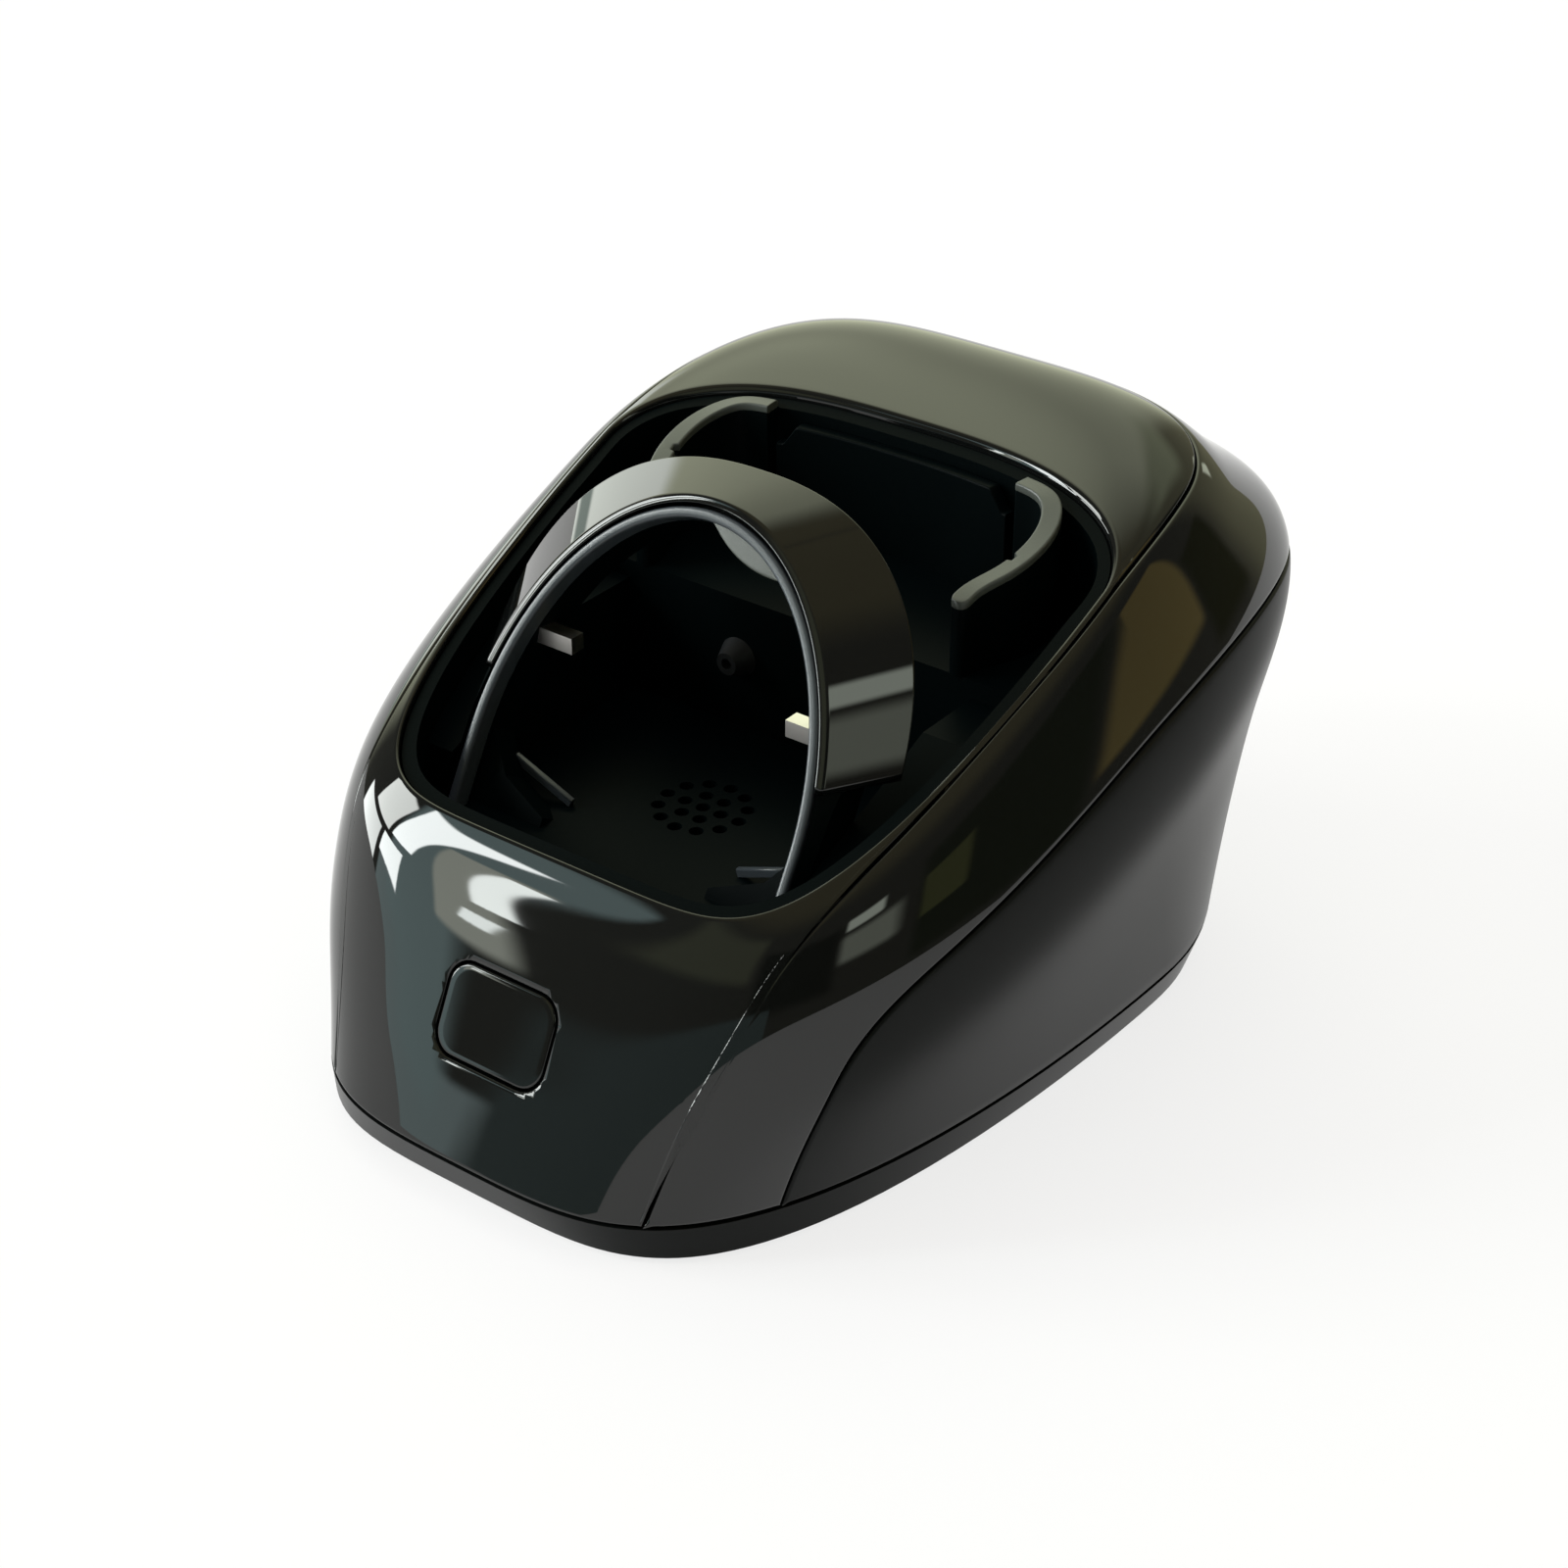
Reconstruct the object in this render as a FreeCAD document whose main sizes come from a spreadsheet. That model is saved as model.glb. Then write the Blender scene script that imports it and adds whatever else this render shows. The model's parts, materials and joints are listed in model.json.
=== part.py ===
import FreeCAD, Part
import math
import os
import Sketcher
from FreeCAD import Placement, Rotation, Vector

# A table-top station that washes the head of a rotary shaver.
# Millimetres. +X is to the right, +Y to the back and +Z up. The origin is the middle of the
# footprint, on the table.

doc = FreeCAD.newDocument("cleaning_station")
sheet = doc.addObject("Spreadsheet::Sheet", "sizes")

RING_FIELDS = (
    "half_width", "front", "widest", "rear",
    "front_power", "rear_power", "front_height", "rear_height",
)
# The moulded form passes through these seven closed rings, from the foot to the edge of the
# opening. Each ring lies in a plane that rises to the back.
RINGS = {
    "foot": (52.3, -75.0, 22.6, 59.3, 0.46, 0.64, 0.0, 0.0),
    "seam": (54.1, -77.3, 22.7, 63.3, 0.55, 0.62, 6.5, 6.5),
    "waist": (58.8, -72.6, 11.3, 74.2, 0.59, 0.56, 16.5, 50.6),
    "flank": (59.6, -67.3, 15.0, 74.5, 0.51, 0.50, 27.0, 69.1),
    "shoulder": (55.1, -61.9, 12.6, 61.2, 0.41, 0.50, 37.5, 78.9),
    "crown": (48.4, -57.7, 10.7, 45.9, 0.33, 0.58, 43.5, 85.2),
    "rim": (44.8, -54.6, 11.5, 29.3, 0.30, 0.68, 46.5, 80.9),
}
# How far up the form each ring lies, from the foot at 0 to the rim at 1.
RING_STATIONS = (0.0, 0.08, 0.35, 0.62, 0.80, 0.93, 1.0)
SEAM_STATION = RING_STATIONS[1]

SIZES = {
    "wall": (2.4, "wall of the moulded shells"),
    "groove_depth": (0.9, "visible parting grooves"),
    "groove_width": (0.35, "visible parting grooves"),
    "underside": (1.0, "underside of the tray above the table"),
    "parting": (6.5, "parting between the tray and the lift-off top"),
    "tray_floor": (3.0, "top of the tray's floor"),
    "spigot_gap": (1.8, "tray's locating wall inside the shells"),
    "spigot_top": (8.5, "tray's locating wall"),
    "spigot_wall": (1.8, "tray's locating wall"),
    "fence_top": (8.0, "fence round the cartridge"),
    "fence_wall": (1.5, "fence round the cartridge"),
    "fence_gap": (0.5, "room round the cartridge"),
    "pad_radius": (6.0, "rubber foot"),
    "pad_height": (1.8, "rubber foot"),
    "pad_x": (30.0, "feet to each side of the middle"),
    "pad_front": (-52.0, "front feet"),
    "pad_rear": (44.0, "rear feet"),
    "opening_trim": (0.1, "how far the opening is cut into the form's own edge"),
    "flange_width": (1.6, "flange that hangs below the edge of the opening"),
    "flange_depth": (8.0, "flange that hangs below the edge of the opening"),
    "collar_tilt": (60.0, "lean of the collar's faces from level"),
    "collar_front": (-43.0, "where the collar's front face meets collar_height"),
    "collar_height": (42.0, "height of the collar's own origin"),
    "collar_depth": (10.0, "level distance from the front face to the back face"),
    "collar_foot": (57.0, "lower end of the collar's gloss band"),
    "mouth_half_width": (28.2, "opening of the collar"),
    "mouth_rise": (40.4, "opening of the collar"),
    "mouth_middle": (7.0, "opening of the collar"),
    "front_half_width": (31.5, "front edge of the collar's band"),
    "front_rise": (45.7, "front edge of the collar's band"),
    "front_middle": (5.0, "front edge of the collar's band"),
    "back_half_width": (37.0, "back edge of the collar's band"),
    "back_rise": (41.5, "back edge of the collar's band"),
    "back_middle": (10.0, "back edge of the collar's band"),
    "band_thickness": (1.2, "gloss band of the collar"),
    "lip_width": (1.6, "soft lip round the mouth"),
    "lip_depth": (3.0, "soft lip round the mouth"),
    "lip_groove": (0.5, "groove between the lip and the band"),
    "stop_radius": (17.0, "lower edge of the crescent tab in the collar"),
    "stop_x": (12.0, "middle of that edge's circle, across"),
    "stop_rise": (58.6, "middle of that edge's circle, up the leaning face"),
    "lug_size": (2.6, "square pins inside the collar"),
    "lug_y": (-27.6, "front of those pins"),
    "lug_z": (59.3, "underside of those pins"),
    "lug_reach": (19.3, "inner end of those pins, from the middle"),
    "collar_reach": (33.0, "beyond the collar's inner wall"),
    "basin_gap": (0.25, "basin inside the opening"),
    "basin_wall": (1.8, "wall of the basin"),
    "basin_drop": (1.2, "top of the basin below the edge of the opening"),
    "pit_floor": (38.0, "top of the basin's floor"),
    "shelf": (60.0, "top of the shelf behind the collar"),
    "side_shelf": (57.0, "highest part of the shelves beside the collar"),
    "side_shelf_drop": (7.0, "front part of those shelves below the edge of the opening"),
    "well_half_width": (31.5, "well for the shaving head"),
    "well_front": (-41.0, "front end of the side shelves"),
    "drain_y": (-22.0, "middle of the drain"),
    "spout_radius": (10.0, "drain spout"),
    "spout_bore": (8.4, "drain spout"),
    "spout_end": (27.0, "lower end of the drain spout"),
    "screen_radius": (11.0, "drain screen"),
    "screen_thickness": (1.2, "drain screen"),
    "screen_hole": (1.1, "radius of a hole in the drain screen"),
    "cradle_wall": (3.0, "wall of the cradle"),
    "cradle_top": (79.7, "height of the cradle's arms at their tips"),
    "cradle_fall": (0.3, "fall of the cradle's arms to the front"),
    "cradle_back": (77.0, "height of the cradle's rear wall"),
    "cap_thickness": (1.2, "caps on the cradle's arms"),
    "cap_notch": (1.4, "length of the small notch in a cap's inner edge"),
    "cap_notch_x": (31.3, "how far out that notch reaches"),
    "cap_notch_y": (9.6, "front end of that notch"),
    "notch_x": (20.2, "V-shaped notch between the cradle's rear wall and an arm"),
    "notch_low": (73.8, "bottom of that notch"),
    "button_width": (19.2, "start button"),
    "button_height": (13.4, "start button"),
    "button_corner": (3.5, "start button"),
    "button_gap": (0.4, "gap round the start button"),
    "button_y": (-68.2, "middle of the button's face"),
    "button_z": (25.3, "middle of the button's face"),
    "button_tilt": (27.0, "lean of the button's travel from level"),
    "stem_radius": (2.0, "stem behind the button"),
    "stem_end": (6.0, "stem's nose behind the button's face"),
    "press": (1.0, "travel of the button"),
    "switch_cap": (1.0, "height of the switch's cap"),
    "switch_cap_radius": (1.6, "the switch's cap"),
    "switch_side": (6.0, "tact switch"),
    "switch_height": (3.5, "tact switch"),
    "guide_wall": (1.5, "guide behind the button"),
    "guide_gap": (0.6, "guide behind the button"),
    "cartridge_inset": (9.0, "cartridge inside the tray's outline"),
    "cartridge_front": (-49.0, "cartridge"),
    "cartridge_rear": (27.0, "cartridge"),
    "cartridge_top": (26.0, "top of the cartridge's body"),
    "cartridge_wall": (1.6, "wall of the cartridge"),
    "lid_thickness": (1.6, "cartridge lid"),
    "collar_ring": (11.6, "bore of the lid's collar"),
    "collar_ring_wall": (1.6, "lid's collar"),
    "collar_ring_top": (32.0, "lid's collar"),
    "seal_gap": (0.05, "running clearance of the spout in its seal"),
    "seal_height": (3.0, "seal in the lid's collar"),
    "basket_height": (16.0, "filter basket"),
    "basket_wall": (1.2, "filter basket"),
    "drive_half_width": (33.0, "drive housing"),
    "drive_front": (34.0, "drive housing"),
    "drive_rear": (58.5, "drive housing"),
    "drive_base": (10.5, "drive housing"),
    "drive_top": (64.0, "drive housing"),
    "drive_wall": (1.6, "drive housing"),
    "divider_x": (2.0, "wall between the pump and the batteries"),
    "bulkhead": (42.0, "top of the plate that carries the drive housing"),
    "bulkhead_thickness": (2.0, "plate that carries the drive housing"),
    "pump_x": (-15.0, "axis of the pump and motor"),
    "pump_y": (46.25, "axis of the pump and motor"),
    "pump_base": (13.6, "underside of the pump"),
    "pump_radius": (9.8, "pump housing"),
    "pump_height": (9.0, "pump housing"),
    "chamber_radius": (8.2, "pump chamber"),
    "chamber_height": (6.0, "pump chamber"),
    "pump_cover": (1.5, "cover under the pump chamber"),
    "motor_radius": (9.4, "pump motor"),
    "motor_height": (26.0, "pump motor"),
    "shaft_radius": (1.0, "motor shaft"),
    "shaft_height": (14.0, "motor shaft above the impeller"),
    "running_gap": (0.05, "running clearance of the shaft"),
    "impeller_radius": (7.2, "impeller"),
    "hub_radius": (2.6, "impeller hub"),
    "disc_thickness": (1.0, "impeller disc"),
    "blade_thickness": (0.9, "impeller blade"),
    "blade_height": (3.4, "impeller blade above the disc"),
    "cell_radius": (5.15, "battery cell"),
    "cell_height": (43.5, "battery cell without its button"),
    "cell_base": (13.5, "lower end of the battery cells"),
    "cell_pitch": (10.6, "spacing of the battery cells"),
    "cell_x": (15.5, "middle of the battery cells"),
    "door_margin": (-0.6, "battery door beyond the cells' middles"),
    "contact_thickness": (0.5, "battery contacts"),
    "board_thickness": (1.6, "circuit board"),
    "board_height": (60.5, "underside of the circuit board"),
    "tube_radius": (2.6, "suction and delivery tubes"),
    "tube_bore": (1.8, "suction and delivery tubes"),
    "tube_offset": (4.5, "tubes to each side of the pump's axis"),
    "tube_height": (18.5, "height of the tubes at the pump"),
    "tube_lane": (30.6, "where the tubes rise behind the cartridge"),
    "suction_y": (20.0, "where the suction tube dips into the cartridge"),
    "suction_over": (38.0, "suction tube above the cartridge"),
    "suction_end": (6.0, "lower end of the suction tube"),
    "delivery_height": (50.0, "delivery tube"),
    "boss_x": (42.5, "screw posts to each side of the middle"),
    "boss_y": (47.0, "screw posts"),
    "boss_radius": (3.4, "screw posts"),
    "boss_height": (12.0, "screw posts"),
    "screw_head": (3.0, "radius of a screw head"),
    "screw_shank": (1.4, "radius of a screw shank"),
    "screw_length": (9.0, "screw shank"),
}

row = 1
for name, (value, note) in SIZES.items():
    sheet.set(f"A{row}", name)
    sheet.set(f"B{row}", str(value))
    sheet.set(f"C{row}", note)
    sheet.setAlias(f"B{row}", name)
    row += 1
for ring, values in RINGS.items():
    for field, value in zip(RING_FIELDS, values):
        sheet.set(f"A{row}", f"{ring} {field}")
        sheet.set(f"B{row}", str(value))
        sheet.setAlias(f"B{row}", f"{ring}_{field}")
        row += 1
doc.recompute()


def size(name):
    return float(getattr(sheet, name))


# ---- the moulded form ----


def slopes(xs, ys):
    """Slopes at the points of the natural cubic spline through them."""
    steps = [b - a for a, b in zip(xs, xs[1:])]
    rises = [(b - a) / h for a, b, h in zip(ys, ys[1:], steps)]
    # One equation for each point: before, own and after weigh the slopes there.
    rows = [(0.0, 2.0, 1.0, 3 * rises[0])]
    for h0, h1, r0, r1 in zip(steps, steps[1:], rises, rises[1:]):
        rows.append((h1, 2 * (h0 + h1), h0, 3 * (h1 * r0 + h0 * r1)))
    rows.append((1.0, 2.0, 0.0, 3 * rises[-1]))
    shares, heights = [0.0], [0.0]
    for before, own, after, total in rows:
        weight = own - before * shares[-1]
        heights.append((total - before * heights[-1]) / weight)
        shares.append(after / weight)
    tangents = [heights[-1]]
    for share, height in zip(shares[-2:0:-1], heights[-2:0:-1]):
        tangents.append(height - share * tangents[-1])
    return tangents[::-1]


def blend(xs, ys, x):
    """The height at x of the smooth curve through the points (xs, ys)."""
    tangents = slopes(xs, ys)
    i = min(max(sum(x >= k for k in xs) - 1, 0), len(xs) - 2)
    h = xs[i + 1] - xs[i]
    u = (x - xs[i]) / h
    return (
        ys[i] * (1 + 2 * u) * (1 - u) ** 2
        + h * tangents[i] * u * (1 - u) ** 2
        + ys[i + 1] * u * u * (3 - 2 * u)
        + h * tangents[i + 1] * u * u * (u - 1)
    )


def ring_at(station):
    """The eight sizes of the ring at a station: straight up to the seam, and smooth above it."""
    ring = {}
    for field in RING_FIELDS:
        values = [size(f"{name}_{field}") for name in RINGS]
        if station < SEAM_STATION:
            ring[field] = values[0] + (values[1] - values[0]) * station / SEAM_STATION
        else:
            ring[field] = blend(RING_STATIONS[1:], values[1:], station)
    return ring


def grown(ring, by):
    """A ring made wider and longer by the same margin all round."""
    bigger = dict(ring)
    bigger["half_width"] += by
    bigger["front"] -= by
    bigger["rear"] += by
    return bigger


def ring_point(ring, angle):
    """A point of a ring: -90 degrees is the front, 0 the widest place, 90 the rear."""
    behind = angle >= 0
    power = ring["rear_power"] if behind else ring["front_power"]
    length = ring["rear"] - ring["widest"] if behind else ring["widest"] - ring["front"]
    x = ring["half_width"] * max(math.cos(angle), 0.0) ** power
    y = ring["widest"] + length * math.sin(angle)
    along = (y - ring["front"]) / (ring["rear"] - ring["front"])
    z = ring["front_height"] + along * (ring["rear_height"] - ring["front_height"])
    return Vector(x, y, z)


DENSE = 240


def half_ring(ring, count):
    """count + 1 evenly spaced points of a ring's right half, from the rear to the front."""
    dense = []
    for i in range(-DENSE, DENSE + 1):
        nearness = 1 - abs(i) / DENSE
        angle = math.copysign(math.pi / 2 * (1 - nearness**3), -i)
        dense.append(ring_point(ring, angle))
    travelled = [0.0]
    for a, b in zip(dense, dense[1:]):
        travelled.append(travelled[-1] + (b - a).Length)
    points, k = [], 0
    for i in range(count + 1):
        goal = travelled[-1] * i / count
        while k < len(dense) - 2 and travelled[k + 1] < goal:
            k += 1
        share = (goal - travelled[k]) / (travelled[k + 1] - travelled[k])
        points.append(dense[k] + (dense[k + 1] - dense[k]) * share)
    return points


def closed(half):
    """A closed smooth wire through a right half and its mirror image."""
    left = [Vector(-p.x, p.y, p.z) for p in half[-2:0:-1]]
    curve = Part.BSplineCurve()
    curve.interpolate(Points=half + left, PeriodicFlag=True)
    return Part.Wire(curve.toShape())


AROUND = 24
# The shells are lofted through these stations, which crowd together where they turn over the
# crown. The tray below them is straight from its foot to the seam.
STATIONS = [
    0.08, 0.17, 0.26, 0.35, 0.44, 0.53, 0.62, 0.71, 0.80, 0.845, 0.89, 0.93, 0.955, 0.98, 1.0,
]


def inset_ring(station, depth):
    """The ring at a station moved in by depth, square to the form at its front, rear and sides."""
    low = ring_at(max(station - 0.004, 0.0))
    high = ring_at(min(station + 0.004, 1.0))
    ring = dict(ring_at(station))
    for way, field in ((1, "rear"), (-1, "front")):
        out = way * (high[field] - low[field])
        rise = high[f"{field}_height"] - low[f"{field}_height"]
        ring[field] -= way * depth * rise / math.hypot(out, rise)
        ring[f"{field}_height"] += depth * out / math.hypot(out, rise)
    out = high["half_width"] - low["half_width"]
    rise = ring_point(high, 0.0).z - ring_point(low, 0.0).z
    ring["half_width"] -= depth * rise / math.hypot(out, rise)
    return ring


def lofted(rings):
    return Part.makeLoft([closed(half_ring(ring, AROUND)) for ring in rings], True, False)


def outer_form():
    return lofted([ring_at(s) for s in STATIONS])


def tray_form():
    return lofted([ring_at(0.0), ring_at(SEAM_STATION)])


def inner_form(depth):
    """The form moved in by depth, closed below the table and under the opening."""
    below = grown(ring_at(0.0), -depth)
    below["front_height"] = below["rear_height"] = -4.0
    above = grown(inset_ring(1.0, depth), -4.0)
    stations = [0.0, SEAM_STATION / 2] + STATIONS
    return lofted([below] + [inset_ring(s, depth) for s in stations] + [above])


# ---- helpers for the document ----

subparts = []


def keep(label, thing):
    """Registers a document object, or a shape as a Part::Feature, as one sub-part."""
    if isinstance(thing, Part.Shape):
        feature = doc.addObject("Part::Feature", label)
        feature.Shape = thing
        feature.Placement = thing.Placement
        thing = feature
    thing.Label = label
    subparts.append(thing)
    return thing


def box(low, high):
    """A plain block between two corners."""
    sides = [b - a for a, b in zip(low, high)]
    return Part.makeBox(*sides, Vector(*low))


def rod(radius, low, high):
    """A plain cylinder between two points."""
    low, high = Vector(*low), Vector(*high)
    axis = high - low
    return Part.makeCylinder(radius, axis.Length, low, axis)


def prism(wire, low, high):
    """A level outline pulled up from one height to another."""
    face = Part.Face(wire)
    face.translate(Vector(0, 0, low - face.BoundBox.ZMin))
    return face.extrude(Vector(0, 0, high - low))


def ring_prism(ring, by, low, high):
    """The plan outline of a ring, grown by a margin and pulled up."""
    level = grown(ring, by)
    level["front_height"] = level["rear_height"] = 0.0
    return prism(closed(half_ring(level, AROUND)), low, high)


def primitive(kind, name, at, axis=Vector(0, 0, 1), **cells):
    """A Part primitive whose sizes are bound to cells of the sheet."""
    thing = doc.addObject(f"Part::{kind}", name)
    for field, text in cells.items():
        thing.setExpression(field, text)
    thing.Placement = Placement(Vector(*at), Rotation(Vector(0, 0, 1), axis))
    return thing


def joined(kind, name, *things):
    """A Part boolean: Fuse, Cut or Common of document objects."""
    if kind == "Fuse":
        result = doc.addObject("Part::MultiFuse", name)
        result.Shapes = list(things)
        return result
    result = doc.addObject(f"Part::{kind}", name)
    result.Base, result.Tool = things
    return result


def origin_plane(body, role):
    return next(f for f in body.Origin.OriginFeatures if f.Role == role)


def new_sketch(body, name, role, lift="0"):
    """A sketch on one of the body's own origin planes, lifted by an expression."""
    sketch = body.newObject("Sketcher::SketchObject", name)
    sketch.AttachmentSupport = [(origin_plane(body, role), "")]
    sketch.MapMode = "FlatFace"
    sketch.setExpression("AttachmentOffset.Base.z", lift)
    return sketch


def rectangle(sketch, width, height, x="0", y="0"):
    """A rectangle about (x, y), driven by expressions."""
    first = sketch.GeometryCount
    corners = [Vector(-1, -1), Vector(1, -1), Vector(1, 1), Vector(-1, 1)]
    for a, b in zip(corners, corners[1:] + corners[:1]):
        sketch.addGeometry(Part.LineSegment(a, b), False)
    ids = [first + i for i in range(4)]
    for a, b in zip(ids, ids[1:] + ids[:1]):
        sketch.addConstraint(Sketcher.Constraint("Coincident", a, 2, b, 1))
    for i in (0, 2):
        sketch.addConstraint(Sketcher.Constraint("Horizontal", ids[i]))
    for i in (1, 3):
        sketch.addConstraint(Sketcher.Constraint("Vertical", ids[i]))
    rules = (
        ("DistanceX", (ids[0], 1, ids[0], 2), width),
        ("DistanceY", (ids[1], 1, ids[1], 2), height),
        ("DistanceX", (-1, 1, ids[0], 2), f"({x}) + ({width}) / 2"),
        ("DistanceY", (-1, 1, ids[1], 2), f"({y}) + ({height}) / 2"),
    )
    for kind, places, text in rules:
        number = sketch.addConstraint(Sketcher.Constraint(kind, *places, 1.0))
        sketch.setExpression(f"Constraints[{number}]", text)


def circle(sketch, radius, x="0", y="0"):
    """A circle about (x, y), driven by expressions."""
    number = sketch.addGeometry(Part.Circle(Vector(1, 1), Vector(0, 0, 1), 1), False)
    for kind, places, text in (
        ("Radius", (number,), radius),
        ("DistanceX", (-1, 1, number, 3), x),
        ("DistanceY", (-1, 1, number, 3), y),
    ):
        rule = sketch.addConstraint(Sketcher.Constraint(kind, *places, 1.0))
        sketch.setExpression(f"Constraints[{rule}]", text)


def pad(body, sketch, length):
    feature = body.newObject("PartDesign::Pad", sketch.Name + "_pad")
    feature.Profile = sketch
    feature.setExpression("Length", length)
    return feature


def pocket(body, sketch, length):
    """A pocket cut along the sketch's normal."""
    feature = body.newObject("PartDesign::Pocket", sketch.Name + "_pocket")
    feature.Profile = sketch
    feature.Reversed = True
    feature.setExpression("Length", length)
    return feature


# ---- the cutting faces of the shells ----

# The parting between the saddle-shaped cover and the band, seen from above: right half, from
# the front to the back.
COVER_EDGE = [
    (25.5, -80.0), (28.9, -72.1), (31.8, -66.2), (34.9, -60.9), (37.5, -55.2), (39.9, -46.2),
    (42.6, -32.7), (44.9, -12.0), (46.0, 6.0), (45.8, 19.3), (44.2, 34.0), (41.8, 42.0),
    (36.0, 49.6), (24.0, 54.4), (0.0, 56.4),
]
# The parting between the band and the lower casing, seen from the side: (y, z).
CASING_EDGE = [
    (-58.0, 0.0), (-56.2, 11.0), (-53.4, 22.0), (-50.0, 29.2), (-45.2, 34.4), (-33.0, 41.2),
    (-18.3, 47.2), (0.0, 54.0), (18.2, 59.3), (36.7, 62.2), (52.4, 62.8), (66.0, 62.3),
    (85.0, 61.2),
]


def moved_out(points, by):
    """The points of a curve moved to its left by a margin."""
    moved = []
    for i, (x, y) in enumerate(points):
        before = points[max(i - 1, 0)]
        after = points[min(i + 1, len(points) - 1)]
        dx, dy = after[0] - before[0], after[1] - before[1]
        length = math.hypot(dx, dy)
        moved.append((x - by * dy / length, y + by * dx / length))
    return moved


def spline(points):
    curve = Part.BSplineCurve()
    curve.interpolate(Points=points)
    return curve.toShape()


def closed_by_lines(curve, corners):
    """A face inside a curve and the straight lines that close it."""
    stops = [curve.valueAt(curve.LastParameter)] + corners + [curve.valueAt(curve.FirstParameter)]
    lines = [Part.makeLine(a, b) for a, b in zip(stops, stops[1:])]
    return Part.Face(Part.Wire([curve] + lines))


def cover_side(by=0.0):
    """Everything inside the cover's edge, as an upright prism."""
    right = moved_out(COVER_EDGE, -by)
    points = [Vector(x, y, 0) for x, y in right[:-1]]
    points += [Vector(0, right[-1][1], 0)]
    points += [Vector(-x, y, 0) for x, y in right[-2::-1]]
    return closed_by_lines(spline(points), []).extrude(Vector(0, 0, 120))


def casing_side(by=0.0):
    """Everything below and behind the casing's edge."""
    points = [Vector(-80, y, z) for y, z in moved_out(CASING_EDGE, by)]
    corners = [Vector(-80, points[-1].y, -20), Vector(-80, points[0].y, -20)]
    return closed_by_lines(spline(points), corners).extrude(Vector(160, 0, 0))


def edge_height(y):
    """Height of the plane of the opening's edge."""
    rim = ring_at(1.0)
    rise = (rim["rear_height"] - rim["front_height"]) / (rim["rear"] - rim["front"])
    return rim["front_height"] + (y - rim["front"]) * rise


def above_edge(drop):
    """Everything above the opening's edge plane lowered by drop."""
    near, far = -90.0, 90.0
    corners = [
        Vector(-80, near, edge_height(near) - drop),
        Vector(-80, far, edge_height(far) - drop),
        Vector(-80, far, 160),
        Vector(-80, near, 160),
    ]
    return Part.Face(Part.makePolygon(corners + corners[:1])).extrude(Vector(160, 0, 0))


# ---- shells ----

outer = outer_form()
cavity = inner_form(size("wall"))
below_grooves = inner_form(size("groove_depth"))
rim = ring_at(1.0)
seam = ring_at(SEAM_STATION)
parting = size("parting")

opening = ring_prism(rim, size("opening_trim"), 20.0, 140.0).common(above_edge(20.0))
cover_zone = cover_side()
casing_zone = casing_side()

press_way = Vector(
    0, math.cos(math.radians(size("button_tilt"))), -math.sin(math.radians(size("button_tilt")))
)
button_turn = Rotation(Vector(0, 0, 1), press_way)
button_middle = Vector(0, size("button_y"), size("button_z"))


def button_prism(margin, start, end):
    """The button's rounded outline, grown by a margin, between two depths behind its face."""
    width = size("button_width") / 2 + margin
    height = size("button_height") / 2 + margin
    corner = size("button_corner") + margin
    block = Part.makeBox(2 * width, 2 * height, end - start, Vector(-width, -height, start))
    block = block.makeFillet(corner, [e for e in block.Edges if abs(e.tangentAt(0).z) > 0.9])
    block.Placement = Placement(button_middle, button_turn)
    return block


def button_rod(radius, start, end):
    """A round pin along the button's travel."""
    return Part.makeCylinder(
        radius, end - start, button_middle + press_way * start, press_way
    )


def make_top_cover():
    flange = ring_prism(rim, size("flange_width"), 20.0, 140.0)
    hollow = cavity.cut(flange.common(above_edge(size("flange_depth"))))
    cover = outer.common(cover_zone).cut(opening).cut(hollow)
    return cover.cut(button_prism(size("button_gap"), -6.0, 9.0))


def groove(zone, wider_zone):
    """The thin gap between a cutting face and its copy, as deep as a groove."""
    return wider_zone.cut(zone).cut(below_grooves)


def make_side_band():
    band = outer.cut(cover_zone).cut(casing_zone).cut(cavity)
    width = size("groove_width")
    band = band.cut(groove(cover_zone, cover_side(width)))
    return band.cut(groove(casing_zone, casing_side(width)))


def make_screw_bosses():
    """Posts inside the casing that the drive housing is screwed to."""
    level, radius = size("bulkhead"), size("boss_radius")
    x, y = size("boss_x"), size("boss_y")
    posts = []
    for hand in (-1, 1):
        low, high = sorted((hand * x, hand * 80.0))
        post = rod(radius, (hand * x, y, level), (hand * x, y, level + size("boss_height")))
        web = box((low, y - 1, level), (high, y + 1, level + size("boss_height")))
        hole = rod(size("screw_shank"), (hand * x, y, 0), (hand * x, y, level + size("screw_length")))
        posts.append(post.fuse(web).cut(hole))
    return posts


def make_lower_casing():
    casing = outer.common(casing_zone).cut(cover_zone)
    hollow = cavity
    for post in make_screw_bosses():
        hollow = hollow.cut(post)
    return casing.cut(hollow)


def foot_places():
    for end, y in (("front", size("pad_front")), ("rear", size("pad_rear"))):
        for side, x in (("left", -size("pad_x")), ("right", size("pad_x"))):
            yield f"foot_{end}_{side}", x, y


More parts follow.
